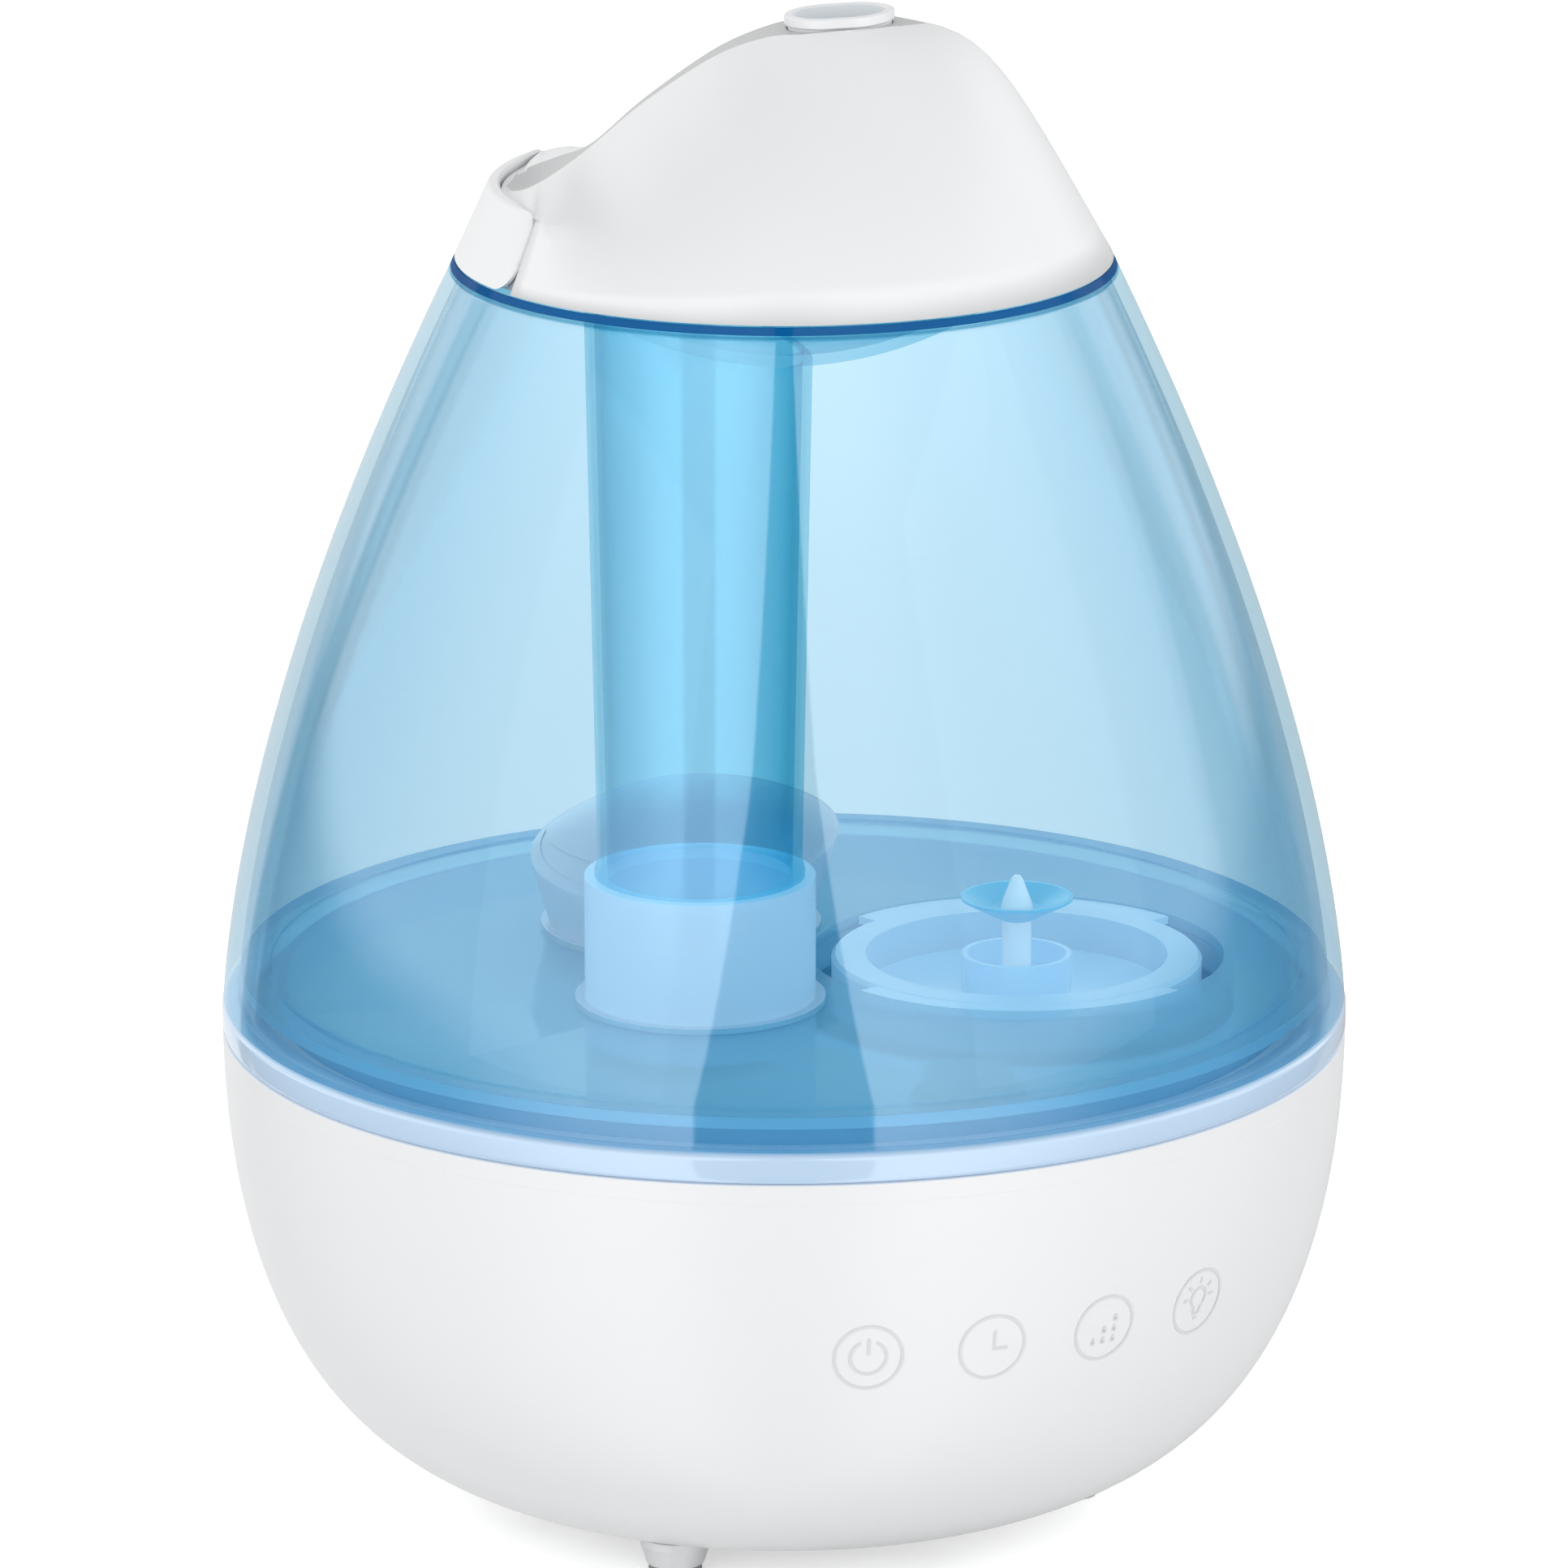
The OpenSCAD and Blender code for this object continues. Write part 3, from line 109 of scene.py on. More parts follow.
class Wire:
    """A shader socket that takes part in Python arithmetic; each operation adds a node."""

    def __init__(self, graph: "Graph", socket: bpy.types.NodeSocket) -> None:
        """Wraps an output socket of a graph."""
        self.graph = graph
        self.socket = socket

    def __add__(self, other: "Wire | float") -> "Wire":
        """self + other."""
        return self.graph.math("ADD", self, other)

    def __sub__(self, other: "Wire | float") -> "Wire":
        """self - other."""
        return self.graph.math("SUBTRACT", self, other)

    def __rsub__(self, other: float) -> "Wire":
        """other - self."""
        return self.graph.math("SUBTRACT", other, self)

    def __mul__(self, other: "Wire | float") -> "Wire":
        """self * other."""
        return self.graph.math("MULTIPLY", self, other)

    __radd__ = __add__
    __rmul__ = __mul__

    def __abs__(self) -> "Wire":
        """abs(self)."""
        return self.graph.math("ABSOLUTE", self)

    def __gt__(self, other: "Wire | float") -> "Wire":
        """1 where self > other, else 0."""
        return self.graph.math("GREATER_THAN", self, other)

    def __lt__(self, other: "Wire | float") -> "Wire":
        """1 where self < other, else 0."""
        return self.graph.math("LESS_THAN", self, other)

    def least(self, other: "Wire | float") -> "Wire":
        """The smaller of self and other."""
        return self.graph.math("MINIMUM", self, other)

    def most(self, other: "Wire | float") -> "Wire":
        """The larger of self and other."""
        return self.graph.math("MAXIMUM", self, other)

    def ramp(self, start: float, end: float, low: float = 0.0, high: float = 1.0) -> "Wire":
        """Smooth step.

        Args:
            start: Where the step begins.
            end: Where it ends; it may be below start.
            low: The value at and before start.
            high: The value at and beyond end.

        Returns:
            The stepped value.
        """
        settings = {"interpolation_type": "SMOOTHSTEP", "clamp": True}
        inputs = {"Value": self, "From Min": start, "From Max": end, "To Min": low, "To Max": high}
        return self.graph.node("ShaderNodeMapRange", settings, inputs)

    def blend(self, low: "Wire | Colour", high: "Wire | Colour") -> "Wire":
        """Colour that goes from low to high as this mask goes from 0 to 1."""
        settings = {"data_type": "RGBA", "clamp_factor": True}
        return self.graph.node("ShaderNodeMix", settings, {"Factor": self, "A": low, "B": high}, "Result")

    def pick(self, low: "Wire | float", high: "Wire | float") -> "Wire":
        """Number that goes from low to high as this mask goes from 0 to 1."""
        settings = {"data_type": "FLOAT", "clamp_factor": True}
        return self.graph.node("ShaderNodeMix", settings, {"Factor": self, "A": low, "B": high})


class Graph:
    """A node tree that shader nodes are added to."""

    def __init__(self, tree: bpy.types.NodeTree) -> None:
        """Starts from an emptied tree."""
        self.tree = tree
        tree.nodes.clear()

    @staticmethod
    def _socket(sockets: Iterable, key: str | int) -> bpy.types.NodeSocket:
        """The enabled socket with a name or number."""
        found = [s for s in sockets if s.enabled]
        return found[key] if isinstance(key, int) else next(s for s in found if s.name == key)

    def node(self, kind: str, settings: dict | None = None, inputs: dict | None = None,
             output: str | int | None = 0) -> Wire | None:
        """Adds a node.

        Args:
            kind: The node's type.
            settings: Its settings, set before its sockets.
            inputs: Values or wires of its sockets, by name or number.
            output: The output that is wanted, or None for a node that has none.

        Returns:
            The wanted output as a wire.
        """
        made = self.tree.nodes.new(kind)
        for key, value in (settings or {}).items():
            setattr(made, key, value)
        for key, value in (inputs or {}).items():
            self.put(self._socket(made.inputs, key), value)
        return None if output is None else Wire(self, self._socket(made.outputs, output))

    def put(self, socket: bpy.types.NodeSocket, value: Wire | float | Sequence[float]) -> None:
        """Links a wire to a socket, or sets the socket's own value.

        Args:
            socket: The socket to feed.
            value: A wire, a number, a colour or a vector.
        """
        if isinstance(value, Wire):
            self.tree.links.new(value.socket, socket)
        elif socket.type == "RGBA" and len(value) == 3:
            socket.default_value = (*value, 1.0)
        else:
            socket.default_value = value

    def math(self, operation: str, *values: Wire | float) -> Wire:
        """A Math node's answer to an operation on numbers."""
        return self.node("ShaderNodeMath", {"operation": operation}, dict(enumerate(values)))

    def measure(self, operation: str, *values: Wire | Point) -> Wire:
        """A Vector Math node's answer, where that is a number."""
        inputs = dict(enumerate(values))
        return self.node("ShaderNodeVectorMath", {"operation": operation}, inputs, "Value")

    def ray(self, fact: Ray) -> Wire:
        """What the Light Path node tells about a ray."""
        return self.node("ShaderNodeLightPath", output=fact.value)

    def mirrored(self) -> Wire:
        """1 for rays that a polished face mirrors, 0 for all others."""
        return (self.ray(Ray.GLOSSY_DEPTH) > 0.5) * (self.ray(Ray.DIFFUSE_DEPTH) < 0.5)


class Surface(Graph):
    """The node tree of one material, with its Principled shader."""

    def __init__(self, name: str, **values: Wire | float | Sequence[float]) -> None:
        """Starts a material.

        Args:
            name: The material's name.
            **values: What the sockets of its Principled shader take; underscores stand for spaces.
        """
        self.material = bpy.data.materials.new(name)
        self.material.use_nodes = True
        super().__init__(self.material.node_tree)
        self.shader = self.node("ShaderNodeBsdfPrincipled")
        self.set(**values)

    def set(self, **values: Wire | float | Sequence[float]) -> None:
        """Sets sockets of the Principled shader; underscores stand for spaces."""
        for key, value in values.items():
            self.put(self.shader.socket.node.inputs[key.replace("_", " ")], value)

    def close(self, shader: Wire | None = None) -> bpy.types.Material:
        """Sends a shader, the Principled one if none is given, to the material's output.

        Args:
            shader: The shader that the material ends in.

        Returns:
            The finished material.
        """
        inputs = {"Surface": shader or self.shader}
        self.node("ShaderNodeOutputMaterial", inputs=inputs, output=None)
        return self.material

    def place(self) -> Wire:
        """The point on the piece, in metres."""
        return self.node("ShaderNodeTexCoord", output="Object")

    def rim(self) -> Wire:
        """How far the surface turns away from the eye, from 0 to 1."""
        return self.node("ShaderNodeLayerWeight", output="Facing")

    def noise(self, size: float, detail: float = 2.0, stretch: Point = (1, 1, 1)) -> Wire:
        """Soft noise from 0 to 1 with features of a size."""
        where = self.node("ShaderNodeMapping", inputs={"Vector": self.place(), "Scale": stretch})
        return self.node("ShaderNodeTexNoise", inputs={"Vector": where, "Scale": 1 / size, "Detail": detail})

    def wander(self, size: float, spread: float) -> Wire:
        """Soft noise about 0, from half the spread below to half the spread above."""
        return (self.noise(size) - 0.5) * spread

    def mottled(self, colour: Colour, darker: float, size: float) -> Wire:
        """A colour with soft clouds of a size that darken it by a share."""
        return self.noise(size).blend(shade(colour, 1 - darker), colour)

    def glow(self, colour: Colour, strength: float) -> None:
        """Gives the surface a faint light of its own, if the strength isn't 0; on a part that is no lamp it
        is painted light.
        """
        if strength:
            self.set(Emission_Color=colour, Emission_Strength=strength)

    def bump(self, height: Wire, depth: float, strength: float) -> None:
        """Feeds a height map of a depth to the shader's normal."""
        inputs = {"Height": height, "Distance": depth, "Strength": strength}
        self.set(Normal=self.node("ShaderNodeBump", inputs=inputs))


# ---- finishes ----


@dataclass(frozen=True)
class MouldedPlastic:
    """Opaque moulded plastic with a faint mottle and a fine moulded grain.

    Attributes:
        mottle: Share by which the mottle darkens the colour.
        grain: Size of the moulded grain.
        grain_depth: Depth of that grain.
        glow: Strength of its own light: the lit ring's lamp light, and painted light on the tray, which is no
            lamp.
        coat: Weight of its polished coat.
    """

    name: str
    colour: Colour
    roughness: float = 0.36
    mottle: float = 0.02
    grain: float = 0.6 * MM
    grain_depth: float = 0.012 * MM
    glow: float = 0.0
    coat: float = 0.0
    mottle_size: ClassVar[float] = 28 * MM
    sheen_size: ClassVar[float] = 6 * MM
    sheen_spread: ClassVar[float] = 0.06

    def make(self) -> bpy.types.Material:
        """Builds the material.

        Returns:
            The finished material.
        """
        s = Surface(self.name, IOR=1.5, Coat_Weight=self.coat)
        s.set(Base_Color=s.mottled(self.colour, self.mottle, self.mottle_size),
              Roughness=self.roughness + s.wander(self.sheen_size, self.sheen_spread))
        s.glow(self.colour, self.glow)
        s.bump(s.noise(self.grain, detail=3.0), self.grain_depth, strength=0.5)
        return s.close()


@dataclass(frozen=True)
class ClearPlastic:
    """Tinted see-through plastic with a polished face; its tint deepens where it turns edge-on.

    Attributes:
        tint: What is left of light that goes straight through.
        edge: What is left of light that goes through edge-on.
        edge_from: How far the face turns away where the tint starts to deepen.
        edge_to: How far it turns away where the tint is deepest.
        clear: Share of light that goes through.
        gloss: Weight of the polish, which grazing_gloss multiplies over grazing.
        blur: Roughness of the polish.
    """

    name: str
    tint: Colour
    edge: Colour
    edge_from: float = 0.2
    edge_to: float = 0.75
    clear: float = 1.0
    gloss: float = 1.0
    blur: float = 0.0
    cloud_size: ClassVar[float] = 40 * MM
    cloud_spread: ClassVar[float] = 0.04
    grazing: ClassVar[Flat] = (0.6, 0.95)
    grazing_gloss: ClassVar[float] = 0.6

    def make(self) -> bpy.types.Material:
        """Builds the material.

        Returns:
            The finished material.
        """
        s = Surface(self.name, Transmission_Weight=self.clear, IOR=1.0, Roughness=0.0,
                    Coat_Roughness=self.blur, Coat_IOR=1.5)
        rim = s.rim()
        depth = rim.ramp(self.edge_from, self.edge_to) + s.wander(self.cloud_size, self.cloud_spread)
        s.set(Base_Color=depth.blend(self.tint, self.edge),
              Coat_Weight=rim.ramp(*self.grazing, self.gloss, self.gloss * self.grazing_gloss))
        return s.close()


@dataclass(frozen=True)
class MilkyPlastic:
    """Cloudy plastic that lets some light through.

    Attributes:
        clear: Share of light that goes through.
        glow: Strength of its own light, a painted glow, since none of these parts is a lamp.
    """

    name: str
    colour: Colour
    clear: float = 0.25
    roughness: float = 0.3
    glow: float = 0.0
    cloud: ClassVar[float] = 0.03
    cloud_size: ClassVar[float] = 14 * MM
    sheen_size: ClassVar[float] = 5 * MM
    sheen_spread: ClassVar[float] = 0.05
    grain: ClassVar[float] = 0.8 * MM
    grain_depth: ClassVar[float] = 0.01 * MM

    def make(self) -> bpy.types.Material:
        """Builds the material.

        Returns:
            The finished material.
        """
        s = Surface(self.name, Transmission_Weight=self.clear, IOR=1.3, Coat_Weight=0.3)
        s.set(Base_Color=s.mottled(self.colour, self.cloud, self.cloud_size),
              Roughness=self.roughness + s.wander(self.sheen_size, self.sheen_spread))
        s.glow(self.colour, self.glow)
        s.bump(s.noise(self.grain, detail=3.0), self.grain_depth, strength=0.4)
        return s.close()


@dataclass(frozen=True)
class Metal:
    """Plated or turned metal with fine upright scratches."""

    name: str
    colour: Colour
    roughness: float = 0.25
    stain: ClassVar[float] = 0.1
    stain_size: ClassVar[float] = 4 * MM
    scratch_size: ClassVar[float] = 0.5 * MM
    scratch_stretch: ClassVar[Point] = (1, 1, 12)
    scratch_depth: ClassVar[float] = 0.01 * MM

    def make(self) -> bpy.types.Material:
        """Builds the material.

        Returns:
            The finished material.
        """
        s = Surface(self.name, Metallic=1.0)
        scratch = s.noise(self.scratch_size, 4.0, self.scratch_stretch)
        s.set(Base_Color=s.mottled(self.colour, self.stain, self.stain_size),
              Roughness=self.roughness + scratch * 0.15)
        s.bump(scratch, self.scratch_depth, strength=0.4)
        return s.close()


@dataclass(frozen=True)
class CircuitBoard:
    """Lacquered board with paler raised tracks."""

    name: str
    board: Colour
    track: Colour
    cell: ClassVar[float] = 3.2 * MM
    track_edge: ClassVar[Flat] = (0.10, 0.06)
    track_depth: ClassVar[float] = 0.03 * MM

    def make(self) -> bpy.types.Material:
        """Builds the material.

        Returns:
            The finished material.
        """
        s = Surface(self.name, Coat_Weight=0.3)
        cells = s.node("ShaderNodeTexVoronoi", {"feature": "DISTANCE_TO_EDGE"},
                       {"Vector": s.place(), "Scale": 1 / self.cell}, "Distance")
        tracks = cells.ramp(*self.track_edge)
        s.set(Base_Color=tracks.blend(self.board, self.track), Roughness=0.35 + tracks * 0.1)
        s.bump(tracks, self.track_depth, strength=0.5)
        return s.close()


@dataclass(frozen=True)
class Rubber:
    """Soft matt rubber."""

    name: str
    colour: Colour
    dust: ClassVar[float] = 0.15
    dust_size: ClassVar[float] = 3 * MM
    sheen_size: ClassVar[float] = 1 * MM
    grain: ClassVar[float] = 0.4 * MM
    grain_depth: ClassVar[float] = 0.03 * MM

    def make(self) -> bpy.types.Material:
        """Builds the material.

        Returns:
            The finished material.
        """
        s = Surface(self.name)
        s.set(Base_Color=s.mottled(self.colour, self.dust, self.dust_size),
              Roughness=0.7 + s.noise(self.sheen_size) * 0.1)
        s.bump(s.noise(self.grain, detail=3.0), self.grain_depth, strength=0.6)
        return s.close()


class Finish(Enum):
    """Every finish on the object."""

    WHITE = MouldedPlastic("white_plastic", srgb(238, 239, 240))
    WHITE_INNER = MouldedPlastic("inner_white_plastic", srgb(226, 229, 232), 0.45)
    # A greyer copy of the white plastic: painted shade on the lid's deck, which faces away from the light.
    DECK = MouldedPlastic("deck_painted_shade", srgb(199, 200, 201), 0.42)
    # The tray's inside: white plastic with a painted glow that lightens the tray seen through the tank's
    # floor.
    TRAY = MouldedPlastic("tray_white_painted_glow", srgb(236, 240, 244), 0.4, grain_depth=0.002 * MM, glow=0.1)
    RING = MouldedPlastic("ring_diffuser", srgb(185, 210, 234), 0.3, mottle=0.01, grain_depth=0.006 * MM,
                          glow=0.1, coat=1.0)
    PRINT = MouldedPlastic("grey_print", srgb(221, 222, 223), 0.5)
    BLACK = MouldedPlastic("black_plastic", srgb(32, 33, 35), 0.4)
    GREY = MouldedPlastic("grey_plastic", srgb(190, 193, 197), 0.4)
    TANK = ClearPlastic("tank_blue", (0.705, 0.88, 0.967), (0.46, 0.72, 0.86), edge_from=0.1, edge_to=0.8)
    TANK_FLOOR = ClearPlastic("tank_floor_blue", (0.47, 0.79, 0.92), (0.43, 0.76, 0.90),
                              edge_from=0.5, edge_to=1.0, clear=0.65, gloss=0.4)
    RIM = ClearPlastic("tank_rim_blue", (0.006, 0.15, 0.42), (0.005, 0.11, 0.34), clear=0.4, gloss=0.2)
    CEILING = ClearPlastic("ceiling_blue", (0.50, 0.80, 0.88), (0.40, 0.72, 0.84),
                           edge_from=0.5, edge_to=0.9, gloss=0.3)
    CHIMNEY = ClearPlastic("chimney_blue", (0.56, 0.87, 0.965), (0.33, 0.75, 0.88),
                           edge_from=0.1, edge_to=0.7, gloss=0.7, blur=0.12)
    # The floor's edge and skirt: milky blue with a painted glow that lightens their shade inside the tank.
    FLOOR_EDGE = MilkyPlastic("floor_edge_blue_painted_glow", srgb(128, 186, 216), 0.2, glow=0.22)
    # The tower's milky plastic has a faint painted glow, light that it gives though it is no lamp.
    TOWER = MilkyPlastic("tower_milky", srgb(220, 235, 248), 0.3, 0.35, glow=0.08)
    # A darker copy of the tower's plastic: painted shade on the lobe behind the riser, which also has the
    # painted glow.
    LOBE = MilkyPlastic("lobe_milky_painted_shade", srgb(190, 213, 230), 0.3, 0.35, glow=0.08)
    # The riser's bore has a stronger painted glow, which lightens it where it stands in shade.
    BORE = MilkyPlastic("bore_milky_painted_glow", srgb(178, 220, 240), 0.3, 0.4, glow=0.22)
    # Cap, stem and valve also have a faint painted glow.
    CAP = MilkyPlastic("cap_milky", srgb(186, 223, 241), 0.55, glow=0.16)
    STEM = MilkyPlastic("stem_milky", srgb(240, 247, 252), glow=0.1)
    VALVE = MilkyPlastic("valve_blue", srgb(60, 205, 236), 0.3, glow=0.1)
    LAMPS = CircuitBoard("lamp_board_green", srgb(30, 110, 60), srgb(60, 150, 90))
    BOARD = CircuitBoard("board_green", srgb(20, 90, 45), srgb(45, 125, 70))
    STEEL = Metal("steel", srgb(200, 202, 206))
    BRASS = Metal("transducer_metal", srgb(212, 190, 130), 0.3)
    COPPER = Metal("copper_winding", srgb(200, 120, 70), 0.35)
    SEAL = Rubber("black_rubber", srgb(28, 28, 30))
    BLUE_SEAL = Rubber("blue_rubber", srgb(150, 195, 225))
    FOOT = Rubber("foot_rubber", srgb(150, 152, 156))

    def material(self) -> bpy.types.Material:
        """The finish's material, made once."""
        return bpy.data.materials.get(self.value.name) or self.value.make()


# ---- pieces ----


def stand(name: str, data: bpy.types.ID) -> bpy.types.Object:
    """Puts data into the scene as an object.

    Args:
        name: The object's name.
        data: Its mesh, light or camera.

    Returns:
        The new object.
    """
    obj = bpy.data.objects.new(name, data)
    bpy.context.scene.collection.objects.link(obj)
    return obj


def piece(name: str, verts: Sequence[Point], faces: Sequence[Sequence[int]]) -> bpy.types.Object:
    """Makes a piece from its corners and faces.

    Args:
        name: The piece's name.
        verts: Its corners.
        faces: The numbers of each face's corners.

    Returns:
        The new piece.
    """
    mesh = bpy.data.meshes.new(name)
    mesh.from_pydata(verts, [], faces)
    return stand(name, mesh)


def smooth(mesh: bpy.types.Mesh, crease: float) -> None:
    """Shades a mesh smooth, with edges sharper than the crease angle kept crisp."""
    mesh.shade_smooth()
    mesh.set_sharp_from_angle(angle=math.radians(crease))


def lathe(name: str, outline: Sequence[Flat], sides: int = 256, crease: float = 40.0) -> bpy.types.Object:
    """Turns a closed outline round the upright axis.

    Args:
        name: The piece's name.
        outline: (radius, height) points, anticlockwise in the half plane.
        sides: Steps round the axis.
        crease: Edges sharper than this stay crisp.

    Returns:
        The new piece, shaded smooth.
    """
    count = len(outline)
    verts, faces = [], []
    for k in range(sides):
        turn = FULL_TURN * k / sides
        verts += [(r * math.cos(turn), r * math.sin(turn), z) for r, z in outline]
        a, b = k * count, (k + 1) % sides * count
        faces += [(a + j, b + j, b + (j + 1) % count, a + (j + 1) % count) for j in range(count)]
    obj = piece(name, verts, faces)
    obj.data.validate()
    smooth(obj.data, crease)
    return obj


def dress(obj: bpy.types.Object, finish: Finish) -> None:
    """Gives a piece one finish all over.

    Args:
        obj: The piece.
        finish: Its finish.
    """
    obj.data.materials.clear()
    obj.data.materials.append(finish.material())
    for polygon in obj.data.polygons:
        polygon.material_index = 0


def two_tone(obj: bpy.types.Object, finish: Finish,
             wanted: Callable[[bpy.types.MeshPolygon], bool]) -> None:
    """Gives some faces of a piece another finish.

    Args:
        obj: The piece.
        finish: The other finish.
        wanted: Whether a face takes it.
    """
    obj.data.materials.append(finish.material())
    for polygon in obj.data.polygons:
        if wanted(polygon):
            polygon.material_index = len(obj.data.materials) - 1


def crisp_between(obj: bpy.types.Object) -> None:
    """Keeps the line between two finishes crisp.

    Args:
        obj: The piece, shaded smooth.
    """
    tones: dict[tuple[int, int], set[int]] = {}
    for polygon in obj.data.polygons:
        for key in polygon.edge_keys:
            tones.setdefault(key, set()).add(polygon.material_index)
    for edge in obj.data.edges:
        if len(tones[edge.key]) > 1:
            edge.use_edge_sharp = True


def settle(obj: bpy.types.Object, body: Body, slot: Slot) -> None:
    """Puts a piece on its body.

    Args:
        obj: The piece, in its place.
        body: The body that carries it.
        slot: The record's material slot; not used.
    """
    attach(obj, body.value)
    LOG.info("built %s", obj.name)


@dataclass
class Skin:
    """A smooth-shaded copy of a CAD node, with softened edges, that stands for it.

    Attributes:
        node: The CAD node.
        body: The body that carries it.
        finish: Its finish.
        slot: Its material slot.
        soften: Width of the bevel on its edges, or 0 for none.
        crease: Edges sharper than this are bevelled and stay crisp.
    """

    node: str
    body: Body
    finish: Finish
    slot: Slot
    soften: float = 0.3 * MM
    crease: float = 30.0
    weld: ClassVar[float] = 0.002 * MM
    flat: ClassVar[float] = 0.2
    bevel_steps: ClassVar[int] = 2

    def copy(self) -> bpy.types.Mesh:
        """Copies the node's mesh with its corners joined and, for a bevel, its flat faces whole.

        Returns:
            The new mesh.
        """
        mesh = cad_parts[self.node].data.copy()
        mesh.name = self.node + "_skin"
        joined = bmesh.new()
        joined.from_mesh(mesh)
        bmesh.ops.remove_doubles(joined, verts=joined.verts, dist=self.weld)
        bmesh.ops.dissolve_degenerate(joined, edges=joined.edges, dist=self.weld)
        if self.soften:
            bmesh.ops.dissolve_limit(joined, angle_limit=math.radians(self.flat),
                                     verts=joined.verts, edges=joined.edges)
        joined.to_mesh(mesh)
        joined.free()
        return mesh

    def bevel(self, obj: bpy.types.Object) -> None:
        """Softens the edges of the skin.

        Args:
            obj: The skin.
        """
        bevel = obj.modifiers.new("soft_edges", "BEVEL")
        bevel.width = self.soften
        bevel.segments = self.bevel_steps
        bevel.limit_method = "ANGLE"
        bevel.angle_limit = math.radians(self.crease)
        bevel.harden_normals = True
        bevel.use_clamp_overlap = True

    def build(self) -> bpy.types.Object:
        """Makes the skin and puts it on its body.

        Returns:
            The new piece.
        """
        obj = stand(self.node + "_skin", self.copy())
        smooth(obj.data, self.crease)
        if self.soften:
            self.bevel(obj)
        dress(obj, self.finish)
        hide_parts(self.node)
        settle(obj, self.body, self.slot)
        return obj


# ---- studio ----


@dataclass(frozen=True)
class MirroredRoom:
    """What polished faces mirror: two wide panels beside the camera, and a plain surround behind.

    The panels have a tapering gap between them, fade outwards, and lean together overhead. Narrow
    dark slits part them from the surround. A turn is an angle round the object from the camera's
    side, and a rise is an angle above the horizon. Two values are where a fade starts and ends, or
    what it starts and ends with.

    Attributes:
        bright: Brightness of a panel at its inner edge and far out.
        outward: Turns over which it goes from the one to the other.
        gap: Largest half width of the gap.
        gap_sides: For its steep and its shallow part, the rise where it closes and its slope.
        gap_edge: Half width of the blur along the gap.
        low_rises: Rises over which the panels take on their low form.
        low_turns: Turns over which a panel fades in its low form.
        low_end: Share of brightness left at the end of that fade.
        behind: Turns over which the surround takes over.
        surround: Brightness of the surround at its left and its right end.
        surround_turn: Turn of those two ends.
        left_turn: Turn of the left slit at the horizon.
        left_lean: Turn that the left slit gains for each degree of rise.
        left_fade: Half widths of the left slit's dark core and of its whole.
        left_dark: Share of brightness left in the left slit.
        right_turn: Turn of the right slit.
        right_half: Half width of the right slit at the horizon.
        right_taper: Half width that the right slit loses for each degree of rise.
        right_limits: Smallest and largest half width of the right slit.
        right_edge: Half width of the blur along the right slit.
        right_dark: Share of brightness left in the right slit.
        top: Rises over which the panels end overhead.
        top_dark: Share of brightness left above them.
    """

    bright: Flat = (2.1, 1.45)
    outward: Flat = (18, 55)
    gap: float = 18.0
    gap_sides: tuple[Flat, Flat] = ((37, 0.44), (54, 0.22))
    gap_edge: float = 0.5
    low_rises: Flat = (1.5, -4)
    low_turns: Flat = (42, 78)
    low_end: float = 0.12
    behind: Flat = (138, 146)
    surround: Flat = (0.95, 0.5)
    surround_turn: float = 140.0
    left_turn: float = -134.3
    left_lean: float = 0.65
    left_fade: Flat = (2.0, 5.0)
    left_dark: float = 0.3
    right_turn: float = 117.0
    right_half: float = 11.7
    right_taper: float = 0.6
    right_limits: Flat = (3.5, 10.0)
    right_edge: float = 2.5
    right_dark: float = 0.4
    top: Flat = (38.5, 41)
    top_dark: float = 0.1

    def _panels(self, side: Wire, rise: Wire) -> Wire:
        """Brightness of the two panels.

        Args:
            side: The turn to either side of the camera.
            rise: The rise.

        Returns:
            The brightness, without the slits.
        """
        steep, shallow = ((closes - rise) * slope for closes, slope in self.gap_sides)
        edge = side - steep.most(shallow).least(self.gap)
        level = edge.ramp(-self.gap_edge, self.gap_edge) * side.ramp(*self.outward, *self.bright)
        low = side.ramp(*self.low_turns, 1.0, self.low_end)
        return level * rise.ramp(*self.low_rises).pick(1.0, low)

    def level(self, g: Graph, right: Vector, near: Vector) -> Wire:
        """Brightness of the room in every direction.

        Args:
            g: The world's graph.
            right: Level direction to the right of the camera.
            near: Level direction from the object to the camera.

        Returns:
            The brightness.
        """
        way = g.node("ShaderNodeTexCoord", output="Generated")
        x, y, z = (g.measure("DOT_PRODUCT", way, tuple(v)) for v in (right, near, Vector((0, 0, 1))))
        turn = g.math("ARCTAN2", x, y) * math.degrees(1)
        rise = g.math("ARCSINE", z) * math.degrees(1)
        side = abs(turn)
        behind = turn.ramp(-self.surround_turn, self.surround_turn, *self.surround)
        level = side.ramp(*self.behind).pick(self._panels(side, rise), behind)
        from_left = abs(turn - self.left_turn - rise * self.left_lean)
        left = from_left.ramp(*self.left_fade, self.left_dark, 1.0)
        half = (self.right_half - rise * self.right_taper).most(self.right_limits[0])
        from_right = abs(turn - self.right_turn) - half.least(self.right_limits[1])
        right = from_right.ramp(-self.right_edge, self.right_edge, self.right_dark, 1.0)
        return level * left * right * rise.ramp(*self.top, 1.0, self.top_dark)


@dataclass(frozen=True)
class Softbox:
    """A large soft light aimed at the object.

    Attributes:
        azimuth: Its direction round the object, from the camera's side.
        radiance: Its brightness as the eye sees it.
        elevation: Its direction above the floor.
        distance: Its distance from the target.
        size: Its width and height.
    """

    name: str
    azimuth: float
    radiance: float
    elevation: float = 14.0
    distance: float = 1.6
    size: Flat = (1.3, 1.1)


